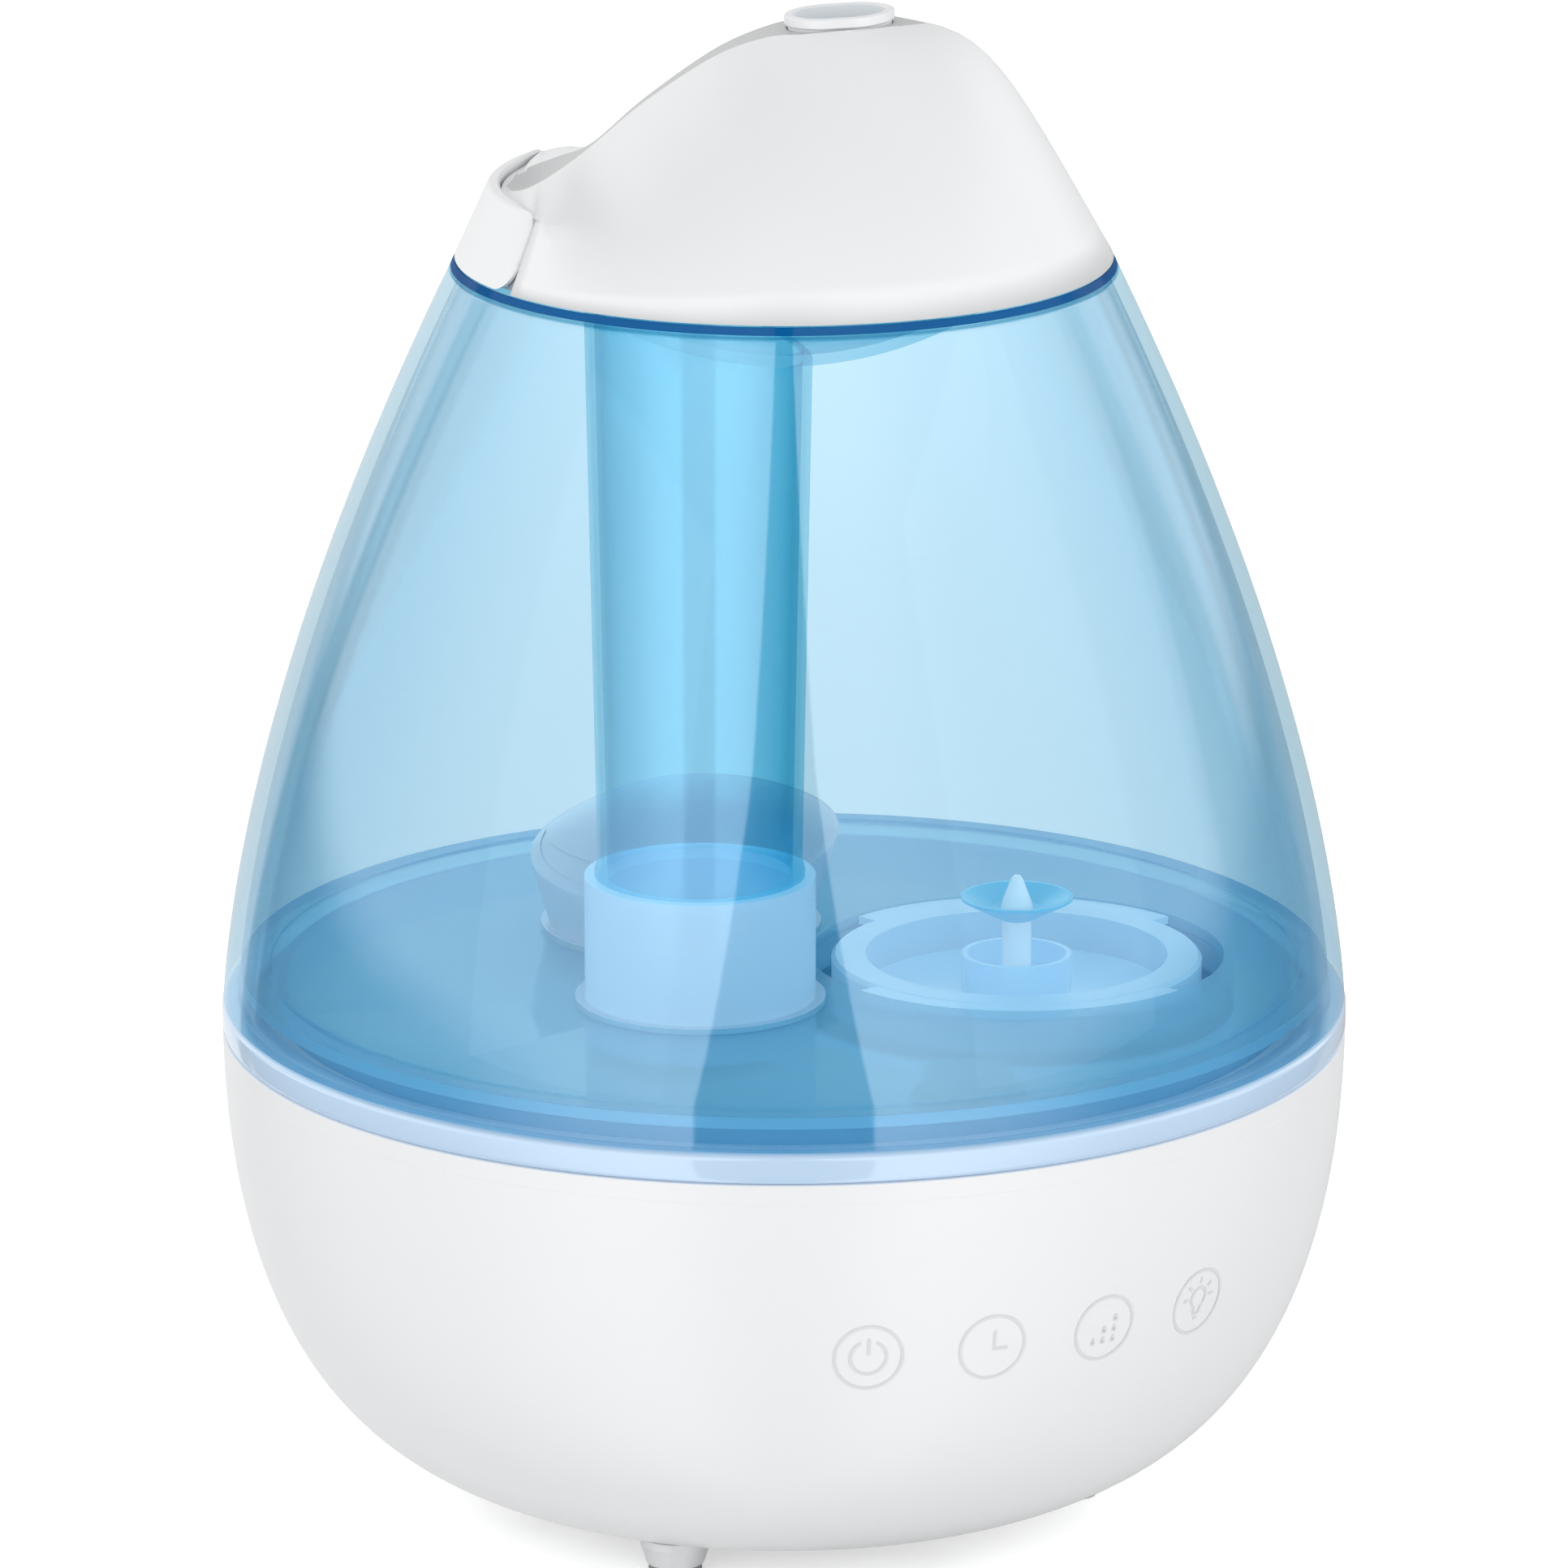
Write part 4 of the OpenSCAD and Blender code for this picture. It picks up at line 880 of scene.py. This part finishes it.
@dataclass
class Studio:
    """Camera, pale floor, white surround and soft lights.

    Attributes:
        target: The point that camera and lights are aimed at.
        distance: From there to the camera.
        azimuth: Direction of the camera round the object.
        elevation: Direction of the camera above the floor.
        lens: Focal length, for a sensor of the given width.
        sensor: Width of the sensor.
        clip: Nearest and farthest distance that the camera sees.
        floor_size: Side of the floor.
        floor_glow: Light that the floor adds for the camera, so that it shows plain white.
        floor_through: Light that it adds for rays that went through the tank, near and far.
        floor_reach: Distances from the middle that count as near and far.
        sky: Light from the horizon and from overhead.
        room: What polished faces mirror.
        softboxes: The lights.
    """

    target: Point = (0.0, 0.0, 149.4 * MM)
    distance: float = 1985.4 * MM
    azimuth: float = -30.0
    elevation: float = 15.3
    lens: float = 223.7
    sensor: float = 36.0
    clip: Flat = (0.05, 20.0)
    floor_size: float = 12.0
    floor_colour: Colour = (0.95, 0.95, 0.95)
    floor_glow: float = 0.5
    floor_through: Flat = (0.0, 0.18)
    floor_reach: Flat = (0.3, 1.6)
    sky: Flat = (1.22, 0.72)
    room: MirroredRoom = MirroredRoom()
    softboxes: tuple[Softbox, ...] = (
        Softbox("left_softbox", -45, 0.55), Softbox("right_softbox", 60, 0.6),
        Softbox("back_softbox", 180, 0.5))

    def _back(self, azimuth: float, elevation: float) -> Vector:
        """Unit vector from the target towards a direction, azimuth 0 at the camera's side."""
        a, e = math.radians(self.azimuth + azimuth), math.radians(elevation)
        return Vector((math.sin(a) * math.cos(e), -math.cos(a) * math.cos(e), math.sin(e)))

    def camera(self) -> None:
        """Makes the camera and aims it."""
        data = bpy.data.cameras.new("camera")
        data.lens = self.lens
        data.sensor_width = self.sensor
        data.clip_start, data.clip_end = self.clip
        obj = stand("camera", data)
        back = self._back(0, self.elevation)
        obj.location = Vector(self.target) + back * self.distance
        obj.rotation_mode = "QUATERNION"
        obj.rotation_quaternion = (-back).to_track_quat("-Z", "Y")
        bpy.context.scene.camera = obj

    def world(self) -> None:
        """Lights the object evenly and shows plain white behind it."""
        world = bpy.data.worlds.new("studio_world")
        bpy.context.scene.world = world
        world.use_nodes = True
        g = Graph(world.node_tree)
        seen = g.ray(Ray.CAMERA).most(g.ray(Ray.TRANSMISSION))
        way = g.node("ShaderNodeTexCoord", output="Generated")
        up = g.node("ShaderNodeSeparateXYZ", inputs={0: way}, output="Z")
        plain = seen.pick(up.ramp(0.0, 1.0, *self.sky), 1.0)
        room = self.room.level(g, self._back(90, 0), self._back(0, 0))
        light = g.node("ShaderNodeBackground",
                       inputs={"Color": WHITE_LIGHT, "Strength": g.mirrored().pick(plain, room)})
        g.node("ShaderNodeOutputWorld", inputs={"Surface": light}, output=None)

    def floor(self) -> None:
        """Lays a plain pale floor that keeps the object's shadow and lets mirrored rays through."""
        bpy.ops.mesh.primitive_plane_add(size=self.floor_size, location=(0, 0, 0))
        obj = bpy.context.object
        obj.name = "floor"
        s = Surface("floor_white", Base_Color=self.floor_colour, Roughness=0.9, Emission_Strength=1.0,
                    Specular_IOR_Level=0.0)
        far = s.measure("LENGTH", s.place())
        behind = s.ray(Ray.TRANSMISSION) * far.ramp(*self.floor_reach, *self.floor_through)
        s.set(Emission_Color=behind + s.ray(Ray.CAMERA) * self.floor_glow)
        clear = s.node("ShaderNodeBsdfTransparent", inputs={"Color": WHITE_LIGHT})
        mixed = s.node("ShaderNodeMixShader", inputs={0: s.mirrored(), 1: s.shader, 2: clear})
        obj.data.materials.append(s.close(mixed))

    def light(self, box: Softbox) -> None:
        """Hangs a soft light.

        Args:
            box: The light.
        """
        width, height = box.size
        data = bpy.data.lights.new(box.name, "AREA")
        data.shape = "RECTANGLE"
        data.size, data.size_y = width, height
        data.energy = box.radiance * width * height * math.pi
        obj = stand(box.name, data)
        back = self._back(box.azimuth, box.elevation)
        obj.location = Vector(self.target) + back * box.distance
        obj.rotation_euler = (-back).to_track_quat("-Z", "Y").to_euler()
        obj.visible_glossy = False

    def build(self) -> None:
        """Sets up the whole studio."""
        self.camera()
        self.world()
        self.floor()
        for box in self.softboxes:
            self.light(box)
        scene = bpy.context.scene
        scene.view_settings.view_transform = "Standard"
        scene.cycles.max_bounces = 24
        scene.cycles.transmission_bounces = 20
        scene.cycles.transparent_max_bounces = 16


# ---- sub-assemblies ----


def arc(radius: float, start: float, end: float, centre: Flat = (0, 0), steps: int = 40) -> Line:
    """Points of an arc."""
    angles = [math.radians(start + (end - start) * i / steps) for i in range(steps + 1)]
    return [(centre[0] + radius * math.cos(a), centre[1] + radius * math.sin(a)) for a in angles]


@dataclass
class Bowl:
    """Outside of the base: an upright oval with flattened sides, turned round the axis.

    Attributes:
        radius: Its largest radius.
        widest: The height where that is.
        drop: From there down to its lowest point.
        powers: How square the oval is, across and up; 2 is round.
    """

    radius: float = 115 * MM
    widest: float = 104 * MM
    drop: float = 100.7 * MM
    powers: Flat = (4.25, 2.22)

    def radius_at(self, z: float) -> float:
        """Radius at a height."""
        a = math.asin(((self.widest - z) / self.drop) ** (self.powers[1] / 2))
        return self.radius * math.cos(a) ** (2 / self.powers[0])


@dataclass
class TouchIcons:
    """Row of icons printed on the bowl: power, timer, mist level and lamp.

    Each is drawn in millimetres about its centre, as lines in a ring.

    Attributes:
        bowl: The bowl that they are printed on.
        height: Height of their centres.
        middle: Turn of the row's middle from the front.
        step: Turn from one icon to the next.
        radius: Radius of the ring, in millimetres.
        stroke: Width of the lines, in millimetres.
        pace: Longest straight piece of a line, in millimetres.
        proud: How far the print stands out.
    """

    bowl: Bowl
    height: float = 63.3 * MM
    middle: float = -1.9
    step: float = 13.06
    radius: float = 6.8
    stroke: float = 0.6
    pace: float = 0.6
    proud: float = 0.05 * MM

    @staticmethod
    def power() -> list[Line]:
        """Circle open at the top, with a stroke in the opening."""
        return [arc(3.6, 115, 425), [(0, 0.6), (0, 4.2)]]

    @staticmethod
    def timer() -> list[Line]:
        """Two hands of a clock."""
        return [[(0.3, 3.6), (0.3, -0.4), (3.2, -0.4)]]

    @staticmethod
    def mist() -> list[Line]:
        """Columns of one, two and three drops.

        Returns:
            For each drop, a dot and the short tail above it.
        """
        dot, tail = 0.25, 1.1
        first, step_x, step_y = (-2.4, -3.0), 2.4, 2.3
        lines = []
        for column in range(3):
            for row in range(column + 1):
                x, y = column * step_x + first[0], row * step_y + first[1]
                lines += [arc(dot, 0, 360, (x, y), 12), [(x, y), (x, y + tail)]]
        return lines

    @staticmethod
    def lamp() -> list[Line]:
        """Bulb with its neck, its foot and five rays.

        Returns:
            The lines of the bulb, then the rays.
        """
        middle, ray_start, ray_end = 0.9, 3.1, 4.4
        bulb = [arc(2.1, -50, 230, (0, middle)), [(-1.1, -0.9), (-0.8, -2.6), (0.8, -2.6), (1.1, -0.9)],
                [(-0.6, -3.6), (0.6, -3.6)]]
        rays = [[(math.sin(a) * r, middle + math.cos(a) * r) for r in (ray_start, ray_end)]
                for a in map(math.radians, (-90, -50, 0, 50, 90))]
        return bulb + rays

    def on_bowl(self, turn: float, point: Flat) -> Point:
        """Place on the bowl of a point of an icon's drawing.

        Args:
            turn: The icon's turn from the front.
            point: The point, in millimetres from the icon's centre.

        Returns:
            The place, just proud of the bowl.
        """
        z = self.height + point[1] * MM
        r = self.bowl.radius_at(z) + self.proud
        a = math.radians(turn) + point[0] * MM / self.bowl.radius_at(self.height)
        return (r * math.sin(a), -r * math.cos(a), z)

    def fine(self, line: Line) -> Line:
        """Splits a line so that it can follow the bowl.

        Args:
            line: The line's points.

        Returns:
            Its points with others set between them, no more than about a pace apart.
        """
        points = [line[0]]
        for p, q in pairwise(line):
            n = max(1, round(math.dist(p, q) / self.pace))
            points += [(p[0] + (q[0] - p[0]) * k / n, p[1] + (q[1] - p[1]) * k / n) for k in range(1, n + 1)]
        return points

    def icon(self, name: str, turn: float, drawing: list[Line]) -> None:
        """Prints an icon as flat ribbons along its lines.

        Args:
            name: The icon's name.
            turn: Its turn from the front.
            drawing: Its lines, without the ring.
        """
        verts, faces = [], []
        half = self.stroke / 2
        for line in [arc(self.radius, 0, 360, steps=72)] + drawing:
            points = self.fine(line)
            last = len(points) - 1
            start = len(verts)
            for i, p in enumerate(points):
                a, b = points[max(i - 1, 0)], points[min(i + 1, last)]
                run = math.dist(a, b) or 1
                nx, ny = -(b[1] - a[1]) / run * half, (b[0] - a[0]) / run * half
                verts += [self.on_bowl(turn, (p[0] + nx, p[1] + ny)),
                          self.on_bowl(turn, (p[0] - nx, p[1] - ny))]
            faces += [(k, k + 1, k + 3, k + 2) for k in range(start, start + 2 * last, 2)]
        obj = piece(name, verts, faces)
        dress(obj, Finish.PRINT)
        settle(obj, Body.BASE, Slot.WHITE_SHELL)

    def build(self) -> None:
        """Prints the row."""
        row = {"power_icon": self.power(), "timer_icon": self.timer(),
               "mist_icon": self.mist(), "lamp_icon": self.lamp()}
        for i, (name, drawing) in enumerate(row.items()):
            self.icon(name, self.middle + (i - (len(row) - 1) / 2) * self.step, drawing)


@dataclass
class LightRing:
    """Lit ring with a rounded outside and a channel for the lamps under it.

    Attributes:
        bore: Its inner radius.
        round: Radius of its outer edges.
        roof: Height of the channel.
        inner_wall: Thickness of the channel's inner wall.
        outer_wall: Thickness of the channel's outer wall.
        sides: Steps round the ring.
        crease: Edges sharper than this stay crisp.
    """

    bore: float = 107.8 * MM
    round: float = 1.3 * MM
    roof: float = 3.0 * MM
    inner_wall: float = 1.2 * MM
    outer_wall: float = 1.6 * MM
    sides: int = 360
    crease: float = 50.0

    def build(self) -> None:
        """Turns the ring."""
        low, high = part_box("light_ring")
        inner, outer, z0, z1, r = self.bore, high.x, low.z, high.z, self.round
        roof = z0 + self.roof
        bends = [(outer - r + r * math.cos(math.radians(a)), z + r * math.sin(math.radians(a)))
                 for z, turns in ((z0 + r, (-90, -60, -30, 0)), (z1 - r, (0, 30, 60, 90))) for a in turns]
        outline = [(inner, z0), (inner + self.inner_wall, z0), (inner + self.inner_wall, roof),
                   (outer - self.outer_wall, roof), (outer - self.outer_wall, z0), *bends, (inner, z1)]
        obj = lathe("light_ring_skin", outline, self.sides, self.crease)
        dress(obj, Finish.RING)
        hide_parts("light_ring")
        settle(obj, Body.BASE, Slot.RING_LIGHT)


@dataclass
class Base:
    """Bowl, tray, cover, light ring and touch icons.

    Attributes:
        bowl: The bowl's outside.
        soften: Bevel of the moulded edges.
        tray_rim: Radius beyond which the tray is finished as the bowl is; inside it the tray has a painted
            glow.
        seam: Lowest and highest point of the parting groove between bowl and tray.
        seam_depth: How far its filling reaches in.
        seam_recess: How far its filling stays back from the bowl's outside.
        seam_sides: Steps round the filling.
    """

    bowl: Bowl
    soften: float = 0.25 * MM
    tray_rim: float = 108.5 * MM
    seam: Flat = (95.7 * MM, 96.3 * MM)
    seam_depth: float = 1 * MM
    seam_recess: float = 0.07 * MM
    seam_sides: int = 360

    def fill_seam(self) -> None:
        """Fills the parting groove between bowl and tray almost flush."""
        low, high = self.seam
        out = self.bowl.radius_at(high) - self.seam_recess
        deep = out - self.seam_depth
        obj = lathe("bowl_seam", [(deep, low), (out, low), (out, high), (deep, high)], self.seam_sides)
        dress(obj, Finish.WHITE)
        settle(obj, Body.BASE, Slot.WHITE_SHELL)

    def build(self) -> None:
        """Builds the base's skins, its ring and its icons."""
        Skin("base_bowl", Body.BASE, Finish.WHITE, Slot.WHITE_SHELL, self.soften).build()
        # Inside the rim the tray has a painted glow; beyond it the tray is plain white.
        tray = Skin("base_tray", Body.BASE, Finish.TRAY, Slot.WHITE_SHELL, self.soften).build()
        two_tone(tray, Finish.WHITE, lambda p: math.hypot(*p.center[:2]) > self.tray_rim)
        Skin("bottom_cover", Body.BASE, Finish.WHITE, Slot.WHITE_SHELL, self.soften).build()
        LightRing().build()
        self.fill_seam()
        TouchIcons(self.bowl).build()


@dataclass
class MistTower:
    """Milky two-lobed tower on the tank's floor: a round riser in front and a tilted lobe behind.

    Attributes:
        floor_top: Top face of the floor that it stands on.
        riser_at: Place of the riser's axis.
        riser: Outer radius of the riser.
        bore: The riser's radius within which faces count as its bore.
        joint: The riser's radius beyond which faces count as the lobe.
        lobe_at: Place of the lobe's axis.
        lobe_radii: Radius of the lobe at its foot and at its shoulder.
        lobe_rise: Height of the shoulder above the floor, and of the crown above the shoulder.
        lobe_lean: Turns of the crown about the x and y axes.
        flange_out: How far out of the walls the foot flange starts.
        flange_top: Height of the flange above the floor.
        crown_in: How far the crown's edge stays inside the lobe's wall.
        crown_deep: How far the crown lies under the lobe's outside.
        crown_reach: Angle from the crown's top to its edge, seen from the centre of its ball.
        crown_rings: Steps from the crown's top to its edge.
        crown_sides: Steps round the crown.
        crown_crease: Edges sharper than this stay crisp on the crown.
        soften: Bevel of the moulded edges.
    """

    floor_top: float
    riser_at: Flat = (-30 * MM, -18.2 * MM)
    riser: float = 23.3 * MM
    bore: float = 22.3 * MM
    joint: float = 23.9 * MM
    lobe_at: Flat = (-6.5 * MM, 31.4 * MM)
    lobe_radii: Flat = (27 * MM, 31.9 * MM)
    lobe_rise: Flat = (18 * MM, 9.7 * MM)
    lobe_lean: Flat = (4.0, -8.0)
    flange_out: float = 0.3 * MM
    flange_top: float = 1.6 * MM
    crown_in: float = 0.5 * MM
    crown_deep: float = 0.2 * MM
    crown_reach: float = 40.0
    crown_rings: int = 16
    crown_sides: int = 72
    crown_crease: float = 60.0
    soften: float = 0.4 * MM

    def from_riser(self, face: bpy.types.MeshPolygon) -> float:
        """Distance of a face from the riser's axis."""
        return math.dist(face.center[:2], self.riser_at)

    def on_flange(self, face: bpy.types.MeshPolygon) -> bool:
        """Whether a face belongs to the foot flange.

        Args:
            face: A face of the tower.

        Returns:
            True for the flange's faces.
        """
        from_lobe = math.dist(face.center[:2], self.lobe_at)
        out = min(self.from_riser(face) - self.riser, from_lobe - self.lobe_radii[0])
        return out > self.flange_out and face.center.z < self.floor_top + self.flange_top

    def within_lobe(self, spot: Vector) -> Point:
        """Pulls a point in where it would stand out of the lobe's tapering wall.

        Args:
            spot: The point.

        Returns:
            The point at the same height, inside the wall.
        """
        foot, top = self.lobe_radii
        limit = foot + (top - foot) * (spot.z - self.floor_top) / self.lobe_rise[0] - self.crown_in
        off = Vector((spot.x - self.lobe_at[0], spot.y - self.lobe_at[1]))
        if off.length > limit:
            off *= limit / off.length
            spot.x, spot.y = self.lobe_at[0] + off.x, self.lobe_at[1] + off.y
        return tuple(spot)

    def lobe_crown(self) -> None:
        """Closes the lobe with a thin tilted crown, part of a ball, just under its outside, in the lobe's
        painted shade.
        """
        top, (shoulder, crown) = self.lobe_radii[1], self.lobe_rise
        ball = (top ** 2 + crown ** 2) / (2 * crown)
        lean_x, lean_y = (math.radians(v) for v in self.lobe_lean)
        axis = Vector((math.sin(lean_y) * math.cos(lean_x), -math.sin(lean_x),
                       math.cos(lean_y) * math.cos(lean_x)))
        centre = Vector((*self.lobe_at, self.floor_top + shoulder + crown)) - axis * ball
        across = axis.cross(Vector((0, 1, 0))).normalized()
        along = axis.cross(across)
        count = self.crown_rings + 1
        verts, faces = [], []
        for k in range(self.crown_sides):
            turn = FULL_TURN * k / self.crown_sides
            for j in range(count):
                bend = math.radians(self.crown_reach) * j / self.crown_rings
                out = (across * math.cos(turn) + along * math.sin(turn)) * math.sin(bend)
                way = axis * math.cos(bend) + out
                verts.append(self.within_lobe(centre + way * (ball - self.crown_deep)))
            a, b = k * count, (k + 1) % self.crown_sides * count
            faces += [(a + j, a + j + 1, b + j + 1, b + j) for j in range(self.crown_rings)]
        obj = piece("lobe_crown", verts, faces)
        smooth(obj.data, self.crown_crease)
        dress(obj, Finish.LOBE)
        settle(obj, Body.TANK, Slot.WHITE_PART)

    def build(self) -> None:
        """Builds the tower's skin and its crown."""
        tower = Skin("mist_tower", Body.TANK, Finish.TOWER, Slot.WHITE_PART, self.soften).build()
        # The lobe takes painted shade, a darker copy of the tower's plastic.
        two_tone(tower, Finish.LOBE, lambda p: self.from_riser(p) > self.joint)
        # The bore takes a stronger painted glow.
        two_tone(tower, Finish.BORE, lambda p: self.from_riser(p) < self.bore)
        two_tone(tower, Finish.TANK_FLOOR, self.on_flange)
        self.lobe_crown()


@dataclass
class Tank:
    """Clear tank with its floor, fill neck, ceiling, chimney and mist tower.

    Attributes:
        floor_top: Top face of the floor.
        skirt: Radius beyond which upright faces of the floor belong to its edge.
        upright: Largest upward share of the normal of a face that counts as upright.
        mouth: (radius, height) of the lower and the upper end of the line round the mouth.
        mouth_depth: How far that line reaches in from its upper end.
        shell_soften: Bevel of the shell's edges.
        floor_soften: Bevel of the floor's edges.
    """

    floor_top: float = 112.7 * MM
    skirt: float = 100 * MM
    upright: float = 0.5
    mouth: tuple[Flat, Flat] = ((66.97 * MM, 257.9 * MM), (66.28 * MM, 259.35 * MM))
    mouth_depth: float = 0.4 * MM
    shell_soften: float = 0.3 * MM
    floor_soften: float = 0.2 * MM

    def on_edge(self, face: bpy.types.MeshPolygon) -> bool:
        """Whether a face of the floor belongs to its outer edge or the skirt under it."""
        x, y, z = face.center
        return math.hypot(x, y) > self.skirt and abs(face.normal.z) < self.upright and z < self.floor_top

    def mouth_line(self) -> None:
        """Adds the dark line round the tank's mouth, let into the ceiling's edge."""
        (low, z0), (high, z1) = self.mouth
        inner = high - self.mouth_depth
        obj = lathe("mouth_line", [(inner, z0), (low, z0), (high, z1), (inner, z1)])
        dress(obj, Finish.RIM)
        settle(obj, Body.TANK, Slot.CLEAR_BLUE)

    def build(self) -> None:
        """Builds the tank's skins."""
        Skin("tank_shell", Body.TANK, Finish.TANK, Slot.CLEAR_BLUE, self.shell_soften).build()
        floor = Skin("tank_floor", Body.TANK, Finish.TANK_FLOOR, Slot.CLEAR_FLOOR, self.floor_soften).build()
        # The floor's edge and skirt take a painted glow.
        two_tone(floor, Finish.FLOOR_EDGE, self.on_edge)
        Skin("fill_neck", Body.TANK, Finish.TANK_FLOOR, Slot.CLEAR_FLOOR, 0.0).build()
        Skin("tank_ceiling", Body.TANK, Finish.CEILING, Slot.CLEAR_BLUE, 0.0).build()
        Skin("chimney", Body.TANK, Finish.CHIMNEY, Slot.CLEAR_BLUE, 0.0).build()
        MistTower(self.floor_top).build()
        self.mouth_line()


@dataclass
class Lid:
    """White lid with its grip and mist nozzle; its deck runs from the tongue up to the nozzle and has a
    painted shade.

    Attributes:
        turn: Turn of the tongue from the -x axis.
        along: Places along the deck, in millimetres from the lid's axis.
        half: Half width of the deck at those places, in millimetres.
        deck_tilt: Smallest upward share of the normal of a face of the deck.
        shell_crease: Edges of the shell sharper than this stay crisp.
        grip_crease: Edges of the grip sharper than this stay crisp.
        grip_soften: Bevel of the grip's edges.
        nozzle_soften: Bevel of the nozzle's edges.
    """

    turn: float = 30.0
    along: tuple[float, ...] = (-55.6, -54.15, -50.5, -45.2, -38.5, -28.0, -14.0, -3.5, 4.0, 12.0,
                                19.0, 25.0, 28.5)
    half: tuple[float, ...] = (0, 7.63, 10.6, 7.63, 1.6, 2.27, 4.18, 6.27, 9.03, 9.5, 7.6, 2.95, 0)
    deck_tilt: float = 0.2
    shell_crease: float = 50.0
    grip_crease: float = 40.0
    grip_soften: float = 0.3 * MM
    nozzle_soften: float = 0.6 * MM

    def takes_painted_deck_shade(self, face: bpy.types.MeshPolygon) -> bool:
        """Whether a face of the shell belongs to the deck between the two ridges, which has a painted shade.

        Args:
            face: A face of the shell.

        Returns:
            True for the deck's faces.
        """
        x, y = face.center.x / MM, face.center.y / MM
        c, s = math.cos(math.radians(self.turn)), math.sin(math.radians(self.turn))
        u, v = x * c - y * s, abs(x * s + y * c)
        for (u0, w0), (u1, w1) in pairwise(zip(self.along, self.half)):
            if u0 <= u <= u1:
                return face.normal.z > self.deck_tilt and v < w0 + (w1 - w0) * (u - u0) / (u1 - u0)
        return False

    def build(self) -> None:
        """Builds the lid's skins."""
        shell = Skin("lid_shell", Body.LID, Finish.WHITE, Slot.WHITE_SHELL, 0.0, self.shell_crease).build()
        # The deck takes painted shade, a greyer copy of the white plastic, with a crisp line round it.
        two_tone(shell, Finish.DECK, self.takes_painted_deck_shade)
        crisp_between(shell)
        Skin("lid_grip", Body.LID, Finish.WHITE, Slot.WHITE_SHELL, self.grip_soften, self.grip_crease).build()
        Skin("nozzle", Body.LID, Finish.WHITE, Slot.WHITE_SHELL, self.nozzle_soften).build()


CARRIED = {
    "standoffs": Finish.WHITE_INNER, "foot_pads": Finish.FOOT, "cover_screws": Finish.STEEL,
    "base_posts": Finish.WHITE_INNER, "air_stack": Finish.WHITE_INNER, "float_guide": Finish.WHITE_INNER,
    "lamp_board": Finish.LAMPS, "fan_frame": Finish.BLACK, "fan_motor": Finish.COPPER,
    "impeller": Finish.BLACK, "air_duct": Finish.GREY, "transducer_disc": Finish.BRASS,
    "transducer_seal": Finish.SEAL, "transducer_retainer": Finish.STEEL, "driver_board": Finish.BOARD,
    "heat_sink": Finish.STEEL, "main_board": Finish.BOARD, "touch_board": Finish.BOARD,
    "touch_springs": Finish.STEEL, "power_inlet": Finish.BLACK, "float_puck": Finish.WHITE_INNER,
    "float_magnet": Finish.GREY, "fill_cap": Finish.CAP, "cap_seal": Finish.BLUE_SEAL,
    "valve_stem": Finish.STEM, "valve_disc": Finish.VALVE, "valve_spring": Finish.STEEL,
    "lid_seat": Finish.WHITE_INNER,
}


def main() -> None:
    """Builds the studio and every piece."""
    logging.basicConfig(level=logging.INFO, format="%(name)s: %(message)s")
    Studio().build()
    Base(Bowl()).build()
    Tank().build()
    Lid().build()
    for node, finish in CARRIED.items():
        dress(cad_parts[node], finish)
        LOG.info("dressed %s", node)


if __name__ == "__main__":
    main()
